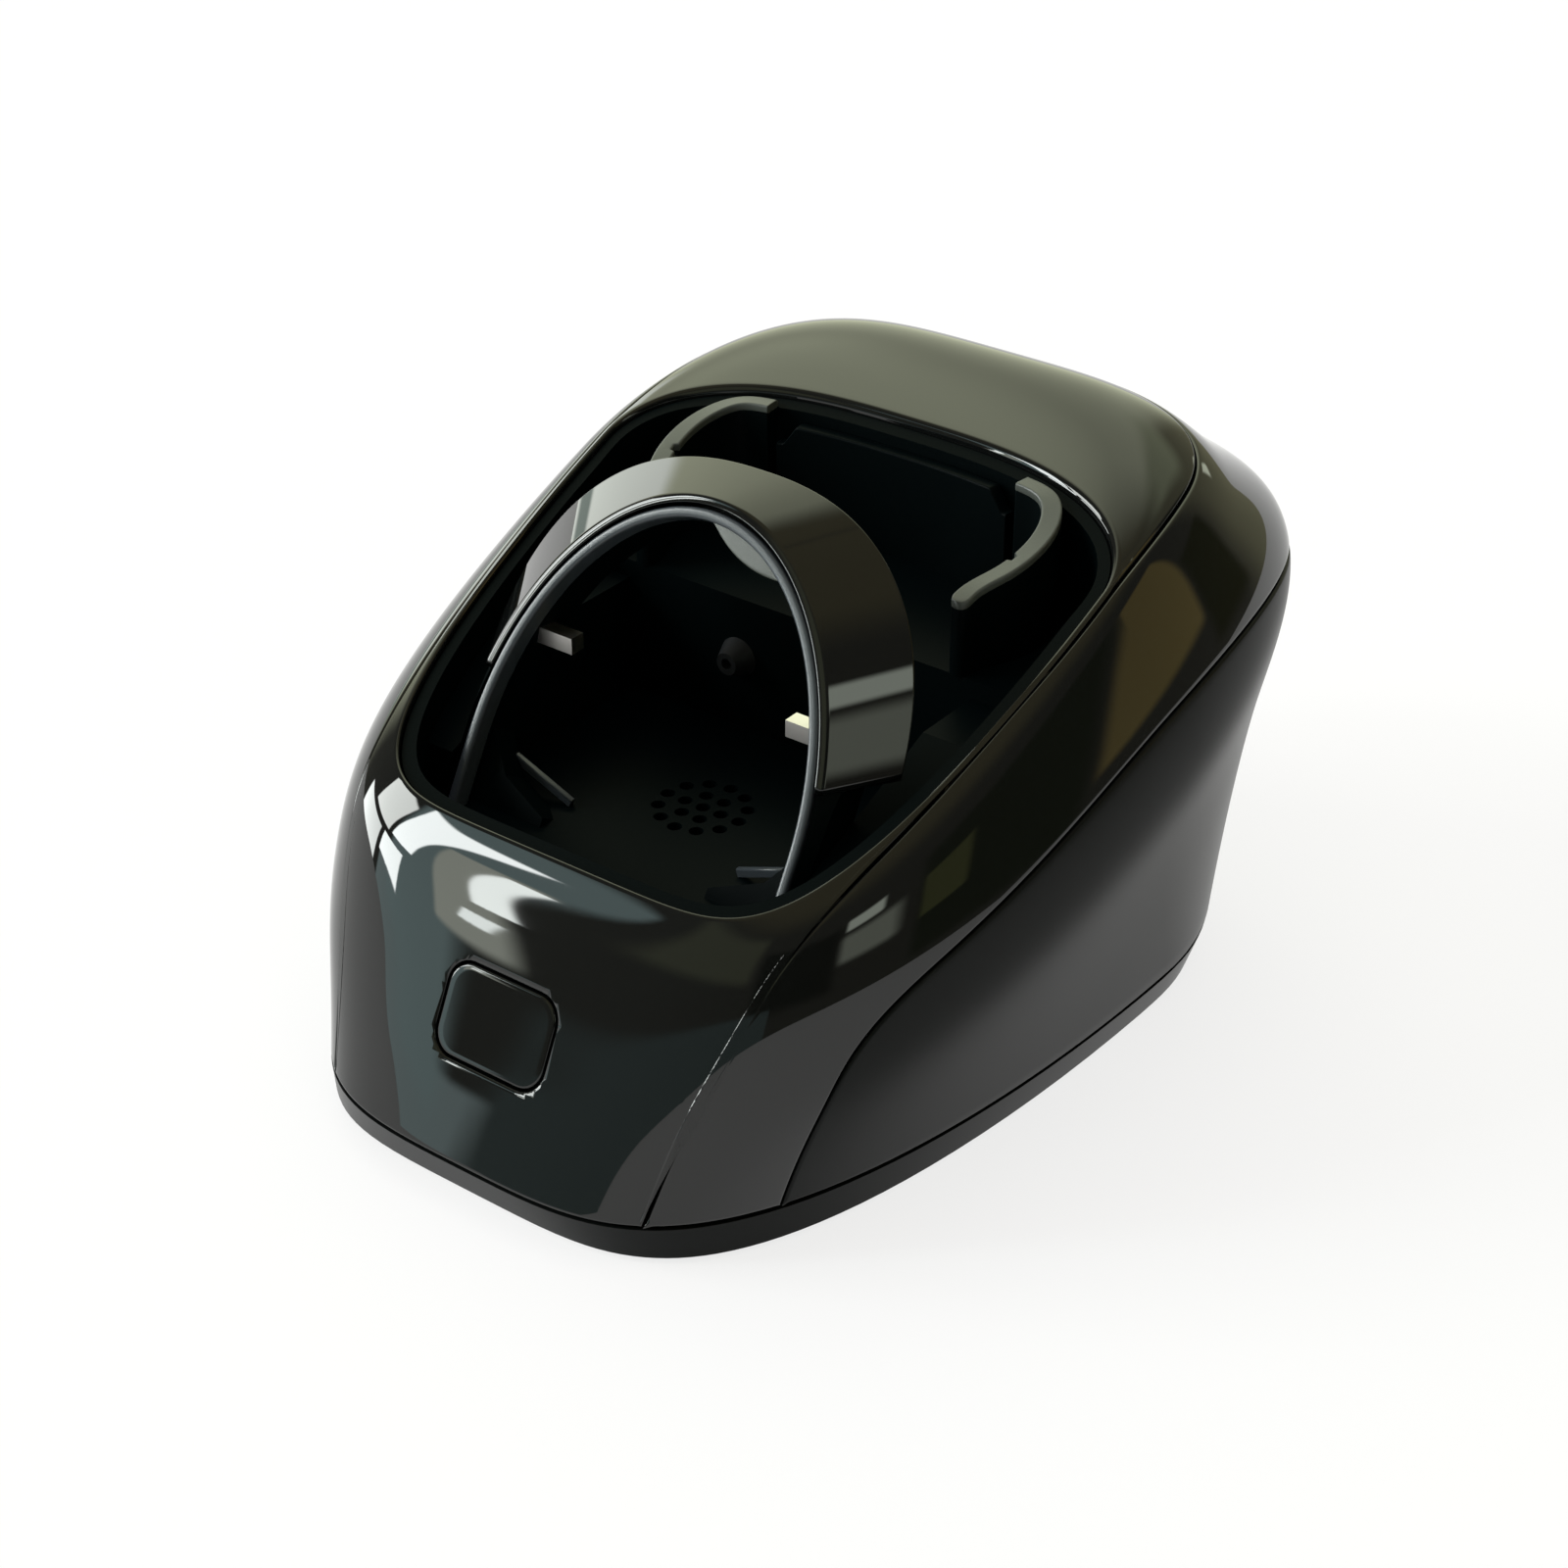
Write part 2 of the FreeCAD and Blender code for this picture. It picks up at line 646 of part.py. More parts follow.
def make_base_tray():
    low, top = size("underside"), size("tray_floor")
    tray = tray_form().common(box((-80, -100, low), (80, 100, parting)))
    edge = box((-80, -100, parting - size("groove_width")), (80, 100, parting + 1))
    tray = tray.cut(edge.cut(below_grooves))
    tray = tray.cut(ring_prism(seam, -size("wall"), top, parting + 1))
    inside = -size("wall") - size("spigot_gap")
    wall = ring_prism(seam, inside, top, size("spigot_top"))
    wall = wall.cut(ring_prism(seam, inside - size("spigot_wall"), top, size("spigot_top")))
    room = size("cartridge_inset") - size("fence_gap")
    fence = cartridge_block(room - size("fence_wall"), top, size("fence_top"))
    fence = fence.cut(cartridge_block(room, top, size("fence_top")))
    tray = tray.fuse([wall, fence])
    for name, x, y in foot_places():
        tray = tray.cut(rod(size("pad_radius"), (x, y, 0), (x, y, size("pad_height"))))
    return tray.removeSplitter()


def cartridge_block(inset, low, high):
    """The cartridge's outline pulled up: the tray's outline moved in, with flat ends."""
    spare = size("cartridge_inset") - inset
    ends = box(
        (-80, size("cartridge_front") - spare, low), (80, size("cartridge_rear") + spare, high)
    )
    return ring_prism(seam, -inset, low, high).common(ends)


keep("top_cover", make_top_cover())
keep("side_band", make_side_band())
keep("lower_casing", make_lower_casing())
keep("base_tray", make_base_tray())


# ---- basin and drain ----


def make_basin():
    gap, wall = size("basin_gap"), size("basin_wall")
    pit, shelf = size("pit_floor"), size("shelf")
    basin = ring_prism(rim, -gap, pit - wall, 140.0).cut(above_edge(size("basin_drop")))
    basin = basin.cut(box((-60, wall, 0), (60, 60, shelf - wall)))
    inside = ring_prism(rim, -gap - wall, 0.0, 140.0)
    front = inside.common(box((-60, -80, pit), (60, 0, 140)))
    well, side, fall = size("well_half_width"), size("side_shelf"), size("side_shelf_drop")
    for hand in (-1, 1):
        low, high = sorted((hand * well, hand * 60.0))
        shelf_block = box((low, size("well_front"), 0), (high, 0, side))
        front = front.cut(shelf_block.cut(above_edge(fall)))
    basin = basin.cut(front).cut(inside.common(box((-60, 0, shelf), (60, 60, 140))))
    hollow = inside.common(box((-60, size("well_front") + wall, 0), (60, -wall, side - wall)))
    hollow = hollow.cut(box((-well - wall, -80, 0), (well + wall, 0, 140)))
    basin = basin.cut(hollow.cut(above_edge(fall + wall)))
    ledge = ring_prism(rim, size("flange_width"), 0.0, 140.0).cut(above_edge(size("flange_depth")))
    ledge = ledge.common(above_edge(size("flange_depth") + wall))
    ledge = ledge.cut(ring_prism(rim, -gap - 0.2, 0.0, 140.0))
    middle = size("drain_y")
    spout = rod(size("spout_radius"), (0, middle, size("spout_end")), (0, middle, pit - 0.5))
    basin = basin.fuse([ledge, spout])
    recess = rod(size("screen_radius"), (0, middle, pit - size("screen_thickness")),
                 (0, middle, pit + 1))
    basin = basin.cut(rod(size("spout_bore"), (0, middle, 0), (0, middle, pit + 1)))
    feed_x, feed_z = size("pump_x") + size("tube_offset"), size("delivery_height")
    feed = rod(size("tube_radius"), (feed_x, -1, feed_z), (feed_x, wall + 1, feed_z))
    return basin.cut(recess).cut(feed).removeSplitter()


keep("basin", make_basin())


def make_drain_screen():
    """A disc with rings of round holes, seated in a recess of the basin's floor."""
    body = doc.addObject("PartDesign::Body", "drain_screen_body")
    disc = new_sketch(body, "screen_disc", "XY_Plane")
    circle(disc, "<<sizes>>.screen_radius")
    pad(body, disc, "<<sizes>>.screen_thickness")
    centre = new_sketch(body, "screen_centre", "XY_Plane")
    circle(centre, "<<sizes>>.screen_hole")
    pocket(body, centre, "<<sizes>>.screen_thickness + 1")
    tip = body.Tip
    for ring, count in ((1, 6), (2, 12)):
        hole = new_sketch(body, f"screen_ring_{ring}", "XY_Plane")
        circle(hole, "<<sizes>>.screen_hole", x=f"{ring} * 3.3")
        drilled = pocket(body, hole, "<<sizes>>.screen_thickness + 1")
        turned = body.newObject("PartDesign::PolarPattern", f"screen_turn_{ring}")
        turned.Originals = [drilled]
        turned.Axis = (body.Origin.OriginFeatures[2], [""])
        turned.Angle = 360.0
        body.Tip = turned
        turned.Occurrences = count
        tip = turned
    body.Tip = tip
    body.Placement = Placement(
        Vector(0, size("drain_y"), size("pit_floor") - size("screen_thickness")), Rotation()
    )
    return body


keep("drain_screen", make_drain_screen())


# ---- collar that holds the shaver ----

ARCH_STEPS = 16
lean = math.radians(size("collar_tilt"))
through = Vector(0, math.sin(lean), -math.cos(lean))


def collar_point(x, v, back):
    """A point of the collar: x across, v up its leaning face, back from its front face."""
    y = size("collar_front") + back * size("collar_depth") + v * math.cos(lean)
    return Vector(x, y, size("collar_height") + v * math.sin(lean))


def arch(half_width, rise, middle, power, back, foot):
    """A closed arch: a curve over two straight legs, at a share back of the depth."""
    points = []
    for i in range(ARCH_STEPS + 1):
        angle = math.pi * i / ARCH_STEPS
        x = half_width * math.copysign(abs(math.cos(angle)) ** power, math.cos(angle))
        points.append(collar_point(x, middle + rise * math.sin(angle) ** power, back))
    points[0] = collar_point(half_width, middle, back)
    points[-1] = collar_point(-half_width, middle, back)
    curve = Part.BSplineCurve()
    up = Vector(0, math.cos(lean), math.sin(lean))
    curve.interpolate(Points=points, InitialTangent=up, FinalTangent=up * -1)
    stops = [
        points[-1],
        collar_point(-half_width, foot, back),
        collar_point(half_width, foot, back),
        points[0],
    ]
    lines = [Part.makeLine(a, b) for a, b in zip(stops, stops[1:])]
    return Part.Wire([curve.toShape()] + lines)


COLLAR_LOW = -4.62
BACK_POWER = 0.83
# The flange at the foot of each leg: (across, up the leaning face), and its share of the depth.
FOOT_OUTLINE = [(28.6, 7.0), (23.7, 0.6), (15.2, -3.1), (15.2, COLLAR_LOW), (29.9, COLLAR_LOW)]
FOOT_SHARE = 0.55


def collar_form(inset, foot=COLLAR_LOW):
    """The collar's solid outside, moved in by a margin."""
    front = arch(
        size("front_half_width") - inset, size("front_rise") - inset,
        size("front_middle"), 1.0, 0.0, foot,
    )
    back = arch(
        size("back_half_width") - inset, size("back_rise") - inset,
        size("back_middle"), BACK_POWER, 1.0, foot,
    )
    return Part.makeLoft([front, back], True, True)


def mouth_form(grow, start, end, foot=COLLAR_LOW - 4):
    """The collar's opening, grown by a margin, between two depths behind its front face."""
    wire = arch(
        size("mouth_half_width") + grow, size("mouth_rise") + grow,
        size("mouth_middle"), 1.0, 0.0, foot,
    )
    depth = size("collar_depth") * math.sin(lean)
    face = Part.Face(wire)
    face.translate(through * (start * depth))
    return face.extrude(through * ((end - start) * depth))


def make_collar_band():
    band = collar_form(0.0).cut(collar_form(size("band_thickness"), COLLAR_LOW - 4))
    return band.common(box((-60, -90, size("collar_foot")), (60, 60, 140)))


def make_collar_frame():
    frame = collar_form(size("band_thickness")).cut(mouth_form(0.0, -1.0, 2.0))
    share = size("lip_depth") / (size("collar_depth") * math.sin(lean))
    pocket_form = mouth_form(size("lip_width") + size("lip_groove"), -1.0, share)
    frame = frame.cut(pocket_form)
    feet = []
    for hand in (-1, 1):
        corners = [collar_point(hand * x, v, 1 - FOOT_SHARE) for x, v in FOOT_OUTLINE]
        face = Part.Face(Part.makePolygon(corners + corners[:1]))
        feet.append(face.extrude(through * (FOOT_SHARE * size("collar_depth") * math.sin(lean))))
    frame = frame.fuse(feet).cut(box((-60, -90, 0), (60, 60, size("pit_floor"))))
    well = size("well_half_width")
    for hand in (-1, 1):
        low, high = sorted((hand * well, hand * 60.0))
        frame = frame.cut(box((low, -90, 0), (high, 60, size("side_shelf"))))
    return frame.removeSplitter()


def make_collar_lip():
    share = size("lip_depth") / (size("collar_depth") * math.sin(lean))
    lip = mouth_form(size("lip_width"), 0.0, share).cut(mouth_form(0.0, -1.0, 2.0))
    return lip.cut(box((-60, -90, 0), (60, 60, size("pit_floor"))))


def make_collar_stop():
    """The crescent tab that hangs inside the top of the mouth, to the right of its middle."""
    depth = size("collar_depth") * math.sin(lean)
    middle = collar_point(size("stop_x"), size("stop_rise"), 0.0) - through * depth
    lower = Part.makeCylinder(size("stop_radius"), 3 * depth, middle, through)
    return mouth_form(0.0, 0.06, 0.2).common(lower)


def make_lug(hand):
    """A pin that reaches in from the collar's inner wall."""
    side, y, z = size("lug_size"), size("lug_y"), size("lug_z")
    low, high = sorted((hand * size("lug_reach"), hand * size("collar_reach")))
    return box((low, y, z), (high, y + side, z + side)).common(mouth_form(0.0, -1.0, 2.0))


keep("collar_band", make_collar_band())
keep("collar_frame", make_collar_frame())
keep("collar_lip", make_collar_lip())
keep("collar_stop", make_collar_stop())
keep("lug_left", make_lug(-1))
keep("lug_right", make_lug(1))


# ---- cradle that the handle leans on ----

# Middle line of the right arm, from its front end round to its tip: (x, y).
ARM_LINE = [
    (28.8, -0.5), (29.0, 2.5), (31.0, 7.5), (32.2, 13.0), (31.4, 19.0), (28.2, 23.4),
    (22.8, 24.8),
]


def wall_along(points, thickness, low, high):
    """An upright wall along a curve seen from above."""
    sides = []
    for by in (thickness / 2, -thickness / 2):
        sides.append(spline([Vector(x, y, low) for x, y in moved_out(points, by)]))
    ends = []
    for pick in (0, 1):
        places = [s.valueAt(s.LastParameter if pick else s.FirstParameter) for s in sides]
        ends.append(Part.makeLine(*places))
    wire = Part.Wire(Part.__sortEdges__([sides[0], ends[1], sides[1], ends[0]]))
    return Part.Face(wire).extrude(Vector(0, 0, high - low))


def arm_height(y):
    return size("cradle_top") + size("cradle_fall") * (y - 25.5)


def above_arms(drop):
    """Everything above the arms' sloping top, lowered by drop."""
    near, far = -40.0, 60.0
    corners = [
        Vector(-60, near, arm_height(near) - drop),
        Vector(-60, far, arm_height(far) - drop),
        Vector(-60, far, 140),
        Vector(-60, near, 140),
    ]
    return Part.Face(Part.makePolygon(corners + corners[:1])).extrude(Vector(120, 0, 0))


def arm_form(hand):
    points = [(hand * x, y) for x, y in ARM_LINE]
    arm = wall_along(points, size("cradle_wall"), size("shelf"), 120.0)
    return arm.cut(above_arms(0.0))


def make_cradle():
    thickness = size("cradle_wall") * 0.7
    back = wall_along(
        [(-21.0, 24.6), (-10.0, 25.9), (0.0, 26.2), (10.0, 25.9), (21.0, 24.6)],
        thickness, size("shelf"), size("cradle_back"),
    )
    arms = [arm_form(hand).cut(above_arms(size("cap_thickness"))) for hand in (-1, 1)]
    joint = [
        box((hand * 22.0 - 1.6, 23.9, size("shelf")), (hand * 22.0 + 1.6, 25.6, size("notch_low")))
        for hand in (-1, 1)
    ]
    inside = ring_prism(rim, -size("basin_gap") - size("basin_wall"), 0.0, 140.0)
    cradle = arms[0].fuse([arms[1], back] + joint).common(inside)
    for hand in (-1, 1):
        cradle = cradle.cut(wall_notch(hand))
    return cradle.removeSplitter()


def wall_notch(hand):
    """The V-shaped notch between the rear wall and an arm's tip."""
    x, low, top = size("notch_x"), size("notch_low"), 90.0
    outline = [(x, low), (x + 2.2, top), (x - 3.0, top), (x - 2.3, size("cradle_back"))]
    corners = [Vector(hand * px, 22.0, pz) for px, pz in outline]
    return Part.Face(Part.makePolygon(corners + corners[:1])).extrude(Vector(0, 6, 0))


def make_cradle_cap(hand):
    """The soft cap on an arm, with a small notch in its inner edge."""
    inside = ring_prism(rim, -size("basin_gap") - size("basin_wall"), 0.0, 140.0)
    cap = arm_form(hand).common(above_arms(size("cap_thickness"))).common(inside)
    low, high = sorted((hand * 29.0, hand * size("cap_notch_x")))
    y = size("cap_notch_y")
    return cap.cut(box((low, y, 60), (high, y + size("cap_notch"), 100)))


keep("cradle", make_cradle())
keep("cradle_cap_left", make_cradle_cap(-1))
keep("cradle_cap_right", make_cradle_cap(1))


# ---- start button and its switch ----


def make_start_button():
    plate = button_prism(0.0, -6.0, 9.0).common(outer).cut(cavity)
    stem = button_rod(size("stem_radius"), size("wall") - 0.6, size("stem_end"))
    return plate.fuse(stem).removeSplitter()


def guide_depth():
    """How far behind the button's face the guide's closed end lies."""
    return size("stem_end") + size("press") + 0.05 + size("switch_cap") + size("switch_height")


def make_button_guide():
    gap, wall = size("guide_gap"), size("guide_wall")
    end = guide_depth()
    board = size("board_thickness")
    guide = button_prism(gap + wall, -4.0, end + board + wall)
    guide = guide.cut(button_prism(gap, -8.0, end + board))
    return guide.common(cavity).removeSplitter()


def make_switch_board():
    depth = guide_depth()
    return button_prism(size("guide_gap"), depth, depth + size("board_thickness"))


def make_tact_switch():
    side, height = size("switch_side"), size("switch_height")
    case = Part.makeBox(side, side, height, Vector(-side / 2, -side / 2, 0))
    case.Placement = Placement(button_middle + press_way * (guide_depth() - height), button_turn)
    face = guide_depth() - height
    return case.fuse(button_rod(size("switch_cap_radius"), face - size("switch_cap"), face))


keep("start_button", make_start_button())
keep("button_guide", make_button_guide())
keep("switch_board", make_switch_board())
keep("tact_switch", make_tact_switch())


# ---- cartridge ----


def make_cartridge_body():
    inset, wall = size("cartridge_inset"), size("cartridge_wall")
    low, high = size("tray_floor"), size("cartridge_top")
    body = cartridge_block(inset, low, high)
    return body.cut(cartridge_block(inset + wall, low + wall, high + 1))


def make_cartridge_lid():
    inset, middle = size("cartridge_inset"), size("drain_y")
    low = size("cartridge_top")
    high = low + size("lid_thickness")
    lid = cartridge_block(inset, low, high)
    lip = cartridge_block(inset + size("cartridge_wall"), low - 2, low)
    lip = lip.cut(cartridge_block(inset + 2 * size("cartridge_wall"), low - 3, low))
    bore, wall, top = size("collar_ring"), size("collar_ring_wall"), size("collar_ring_top")
    ring = rod(bore + wall, (0, middle, low), (0, middle, top))
    lid = lid.fuse([lip, ring]).cut(rod(bore, (0, middle, low - 4), (0, middle, top + 1)))
    port_x, port_y = size("pump_x") - size("tube_offset"), size("suction_y")
    port = rod(size("tube_radius") + 0.4, (port_x, port_y, low - 1), (port_x, port_y, high + 1))
    return lid.cut(port).removeSplitter()


def make_cartridge_seal():
    middle, top = size("drain_y"), size("collar_ring_top")
    low = top - size("seal_height")
    seal = rod(size("collar_ring"), (0, middle, low), (0, middle, top))
    return seal.cut(rod(size("spout_radius") + size("seal_gap"), (0, middle, low), (0, middle, top)))


def make_filter_basket():
    middle, top = size("drain_y"), size("cartridge_top") + 0.6
    low, wall, radius = top - size("basket_height"), size("basket_wall"), size("collar_ring")
    basket = rod(radius, (0, middle, low), (0, middle, top))
    basket = basket.cut(rod(radius - wall, (0, middle, low + wall), (0, middle, top)))
    slots = []
    for i in range(12):
        slot = box((radius - 2 * wall, middle - 0.9, low + 3), (radius + wall, middle + 0.9, top - 4))
        slot.rotate(Vector(0, middle, 0), Vector(0, 0, 1), 30 * i)
        slots.append(slot)
    return basket.cut(slots)


keep("cartridge_body", make_cartridge_body())
keep("cartridge_lid", make_cartridge_lid())
keep("cartridge_seal", make_cartridge_seal())
keep("filter_basket", make_filter_basket())


# ---- drive: pump, motor, batteries and board behind the basin ----

half, front, rear = size("drive_half_width"), size("drive_front"), size("drive_rear")
base, top, thin = size("drive_base"), size("drive_top"), size("drive_wall")
axis_x, axis_y = size("pump_x"), size("pump_y")


def tube_lines():
    """The middle lines of the suction and the delivery tube."""
    start = axis_y - size("chamber_radius")
    lane, height = size("tube_lane"), size("tube_height")
    left, right = axis_x - size("tube_offset"), axis_x + size("tube_offset")
    over, rise = size("suction_over"), size("delivery_height")
    suction = [
        (left, start, height), (left, lane, height), (left, lane, over),
        (left, size("suction_y"), over), (left, size("suction_y"), size("suction_end")),
    ]
    delivery = [
        (right, start, height), (right, lane, height), (right, lane, rise), (right, 0.0, rise),
    ]
    return suction, delivery


def tube(points, radius):
    """A round tube along a line with rounded corners."""
    bend = 2 * size("tube_radius")
    pieces = []
    start = Vector(*points[0])
    for i in range(1, len(points)):
        corner = Vector(*points[i])
        if i == len(points) - 1:
            pieces.append(Part.makeLine(start, corner))
            break
        way_in = (corner - Vector(*points[i - 1])).normalize()
        way_out = (Vector(*points[i + 1]) - corner).normalize()
        enter, leave = corner - way_in * bend, corner + way_out * bend
        inner = corner + (way_out - way_in) * bend
        middle = inner + (corner - inner).normalize() * bend
        pieces.append(Part.makeLine(start, enter))
        pieces.append(Part.Arc(enter, middle, leave).toShape())
        start = leave
    path = Part.Wire(pieces)
    first = (Vector(*points[1]) - Vector(*points[0])).normalize()
    ring = Part.Wire(Part.makeCircle(radius, Vector(*points[0]), first))
    return path.makePipeShell([ring], True, False)


tube_paths = tube_lines()
tubes_outside = [tube(path, size("tube_radius")) for path in tube_paths]


def door_opening(gap=0.0):
    """The opening for the batteries in the floor of the drive housing."""
    reach = size("cell_pitch") + size("door_margin") - gap
    x, y = size("cell_x"), axis_y
    return box((x - reach, y - reach + 1, base), (x + reach, y + reach - 1, base + thin))


def make_drive_housing():
    housing = box((-half, front, base), (half, rear, top))
    housing = housing.makeFillet(4.0, [e for e in housing.Edges if e.Length > 50 and
                                       abs(e.tangentAt(0).z) > 0.9])
    housing = housing.cut(box((-half + thin, front + thin, base + thin), (half - thin, rear - thin, top)))
    board, middle = size("board_height"), size("divider_x")
    divider = box((middle - thin / 2, front + thin, base), (middle + thin / 2, rear - thin, board))
    ledges = [
        box((-half + thin, front + thin, board - 8), (-half + 2 * thin, rear - thin, board)),
        box((half - 2 * thin, front + thin, board - 8), (half - thin, rear - thin, board)),
    ]
    level = size("bulkhead")
    plate = box((-80, front + 2, level - size("bulkhead_thickness")), (80, 100, level))
    plate = plate.common(cavity).cut(box((-half, front, base), (half, rear, top)))
    for hand in (-1, 1):
        hole_x, hole_y = hand * size("boss_x"), size("boss_y")
        plate = plate.cut(rod(size("screw_shank") + 0.2, (hole_x, hole_y, 0), (hole_x, hole_y, 60)))
    housing = housing.fuse([divider, plate] + ledges).cut(door_opening())
    return housing.cut(tubes_outside).removeSplitter()


keep("drive_housing", make_drive_housing())
keep("suction_tube", tubes_outside[0].cut(tube(tube_paths[0], size("tube_bore"))))
keep("delivery_tube", tubes_outside[1].cut(tube(tube_paths[1], size("tube_bore"))))


def make_battery_door():
    return door_opening(0.2)


def cell_places():
    step = size("cell_pitch") / 2
    for number, (side, end) in enumerate(((-1, -1), (1, -1), (-1, 1), (1, 1)), start=1):
        yield number, size("cell_x") + side * step, axis_y + end * step


def make_battery_cell(number, x, y):
    """One cell: a can with its contact nub, standing."""
    can = primitive(
        "Cylinder", f"cell_can_{number}", (x, y, size("cell_base")),
        Radius="<<sizes>>.cell_radius", Height="<<sizes>>.cell_height",
    )
    nub = primitive(
        "Cylinder", f"cell_nub_{number}", (x, y, size("cell_base") + size("cell_height")),
        Radius="<<sizes>>.cell_radius * 0.4", Height="1",
    )
    return joined("Fuse", f"cell_{number}", can, nub)


def make_contacts_lower():
    """A plate with four sprung cones under the cells."""
    low, thick = base + thin, size("contact_thickness")
    reach = size("cell_pitch") - 1.2
    x = size("cell_x")
    plate = box((x - reach, axis_y - reach + 1, low), (x + reach, axis_y + reach - 1, low + thick))
    cones = [
        Part.makeCone(3.6, 1.6, size("cell_base") - low - thick, Vector(px, py, low + thick))
        for number, px, py in cell_places()
    ]
    return plate.fuse(cones)


def make_contacts_upper():
    """A plate on the cells' nubs with two tails up to the circuit board."""
    low, thick = size("cell_base") + size("cell_height") + 1.0, size("contact_thickness")
    reach = size("cell_pitch") - 1.2
    x = size("cell_x")
    plate = box((x - reach, axis_y - reach + 1, low), (x + reach, axis_y + reach - 1, low + thick))
    tails = [
        box((x + side * 6 - 0.6, axis_y - 2, low), (x + side * 6 + 0.6, axis_y + 2, size("board_height")))
        for side in (-1, 1)
    ]
    return plate.fuse(tails).removeSplitter()


def make_pump_cover():
    return primitive(
        "Cylinder", "pump_cover_disc", (axis_x, axis_y, size("pump_base") - size("pump_cover")),
        Radius="<<sizes>>.pump_radius", Height="<<sizes>>.pump_cover",
    )


def make_pump_housing():
    low = size("pump_base")
    high = low + size("pump_height")
    housing = rod(size("pump_radius"), (axis_x, axis_y, low), (axis_x, axis_y, high))
    chamber_top = low + size("chamber_height")
    chamber = rod(size("chamber_radius"), (axis_x, axis_y, low), (axis_x, axis_y, chamber_top))
    bore = rod(size("shaft_radius") + size("running_gap"),
               (axis_x, axis_y, low), (axis_x, axis_y, high))
    housing = housing.cut(chamber).cut(bore).cut(tubes_outside)
    for side in (-1, 1):
        x, z = axis_x + side * size("tube_offset"), size("tube_height")
        housing = housing.cut(rod(size("tube_bore"), (x, axis_y - 5, z), (x, axis_y - 9, z)))
    return housing.removeSplitter()


IMPELLER_LIFT = 0.6
IMPELLER_BLADES = 6


def make_impeller():
    """Disc, hub, swept blades and the shaft that carries them."""
    body = doc.addObject("PartDesign::Body", "impeller_body")
    disc = new_sketch(body, "impeller_disc", "XY_Plane")
    circle(disc, "<<sizes>>.impeller_radius")
    pad(body, disc, "<<sizes>>.disc_thickness")
    hub = new_sketch(body, "impeller_hub", "XY_Plane")
    circle(hub, "<<sizes>>.hub_radius")
    pad(body, hub, "<<sizes>>.disc_thickness + <<sizes>>.blade_height")
    shaft = new_sketch(body, "impeller_shaft", "XY_Plane")
    circle(shaft, "<<sizes>>.shaft_radius")
    pad(body, shaft, "<<sizes>>.shaft_height")
    blade = new_sketch(body, "impeller_blade", "XY_Plane")
    length = "(<<sizes>>.impeller_radius - <<sizes>>.hub_radius + 0.6)"
    rectangle(
        blade, length, "<<sizes>>.blade_thickness",
        x=f"<<sizes>>.impeller_radius - 0.2 - {length} / 2", y="<<sizes>>.hub_radius * 0.55",
    )
    first = pad(body, blade, "<<sizes>>.disc_thickness + <<sizes>>.blade_height")
    turned = body.newObject("PartDesign::PolarPattern", "impeller_blades")
    turned.Originals = [first]
    turned.Axis = (body.Origin.OriginFeatures[2], [""])
    turned.Angle = 360.0
    body.Tip = turned
    turned.Occurrences = IMPELLER_BLADES
    body.Placement = Placement(
        Vector(axis_x, axis_y, size("pump_base") + IMPELLER_LIFT), Rotation()
    )
    return body


def make_pump_motor():
    low = size("pump_base") + size("pump_height")
    high = low + size("motor_height")
    can = rod(size("motor_radius"), (axis_x, axis_y, low), (axis_x, axis_y, high))
    can = can.makeFillet(1.0, [can.Edges[0], can.Edges[2]])
    boss = rod(3.0, (axis_x, axis_y, high), (axis_x, axis_y, high + 1.8))
    tabs = []
    for side in (-1, 1):
        x = axis_x + side * 5
        tabs.append(box((x - 0.3, axis_y - 1.2, high - 0.5), (x + 0.3, axis_y + 1.2, high + 4)))
    bore_top = size("pump_base") + IMPELLER_LIFT + size("shaft_height") + 0.5
    bore_radius = size("shaft_radius") + size("running_gap")
    bore = rod(bore_radius, (axis_x, axis_y, 0), (axis_x, axis_y, bore_top))
    return can.fuse([boss] + tabs).cut(bore)


def make_circuit_board():
    """A board with its chips, resting on the housing's divider and ledges."""
    body = doc.addObject("PartDesign::Body", "circuit_board_body")
    plate = new_sketch(body, "board_outline", "XY_Plane")
    rectangle(
        plate, "2 * (<<sizes>>.drive_half_width - <<sizes>>.drive_wall) - 1",
        "<<sizes>>.drive_rear - <<sizes>>.drive_front - 2 * <<sizes>>.drive_wall - 1",
    )
    pad(body, plate, "<<sizes>>.board_thickness")
    for number, (x, y, width, height) in enumerate(((-10, 2, 9, 6), (8, -3, 6, 4), (20, 3, 5, 5))):
        chip = new_sketch(body, f"board_chip_{number}", "XY_Plane")
        rectangle(chip, str(width), str(height), x=str(x), y=str(y))
        pad(body, chip, "<<sizes>>.board_thickness + 1.2")
    body.Placement = Placement(Vector(0, (front + rear) / 2, size("board_height")), Rotation())
    return body


def make_spray_nozzle():
    """A short cone on the end of the delivery tube, inside the well."""
    x, z = axis_x + size("tube_offset"), size("delivery_height")
    cone = Part.makeCone(size("tube_radius") + 0.6, size("tube_bore"), 3.0, Vector(x, 0, z),
                         Vector(0, -1, 0))
    return cone.cut(rod(0.9, (x, 1, z), (x, -5, z)))


def make_foot(name, x, y):
    """A rubber foot with a turned edge."""
    body = doc.addObject("PartDesign::Body", f"{name}_body")
    disc = new_sketch(body, f"{name}_disc", "XY_Plane")
    circle(disc, "<<sizes>>.pad_radius")
    pad(body, disc, "<<sizes>>.pad_height")
    body.Placement = Placement(Vector(x, y, 0), Rotation())
    return body


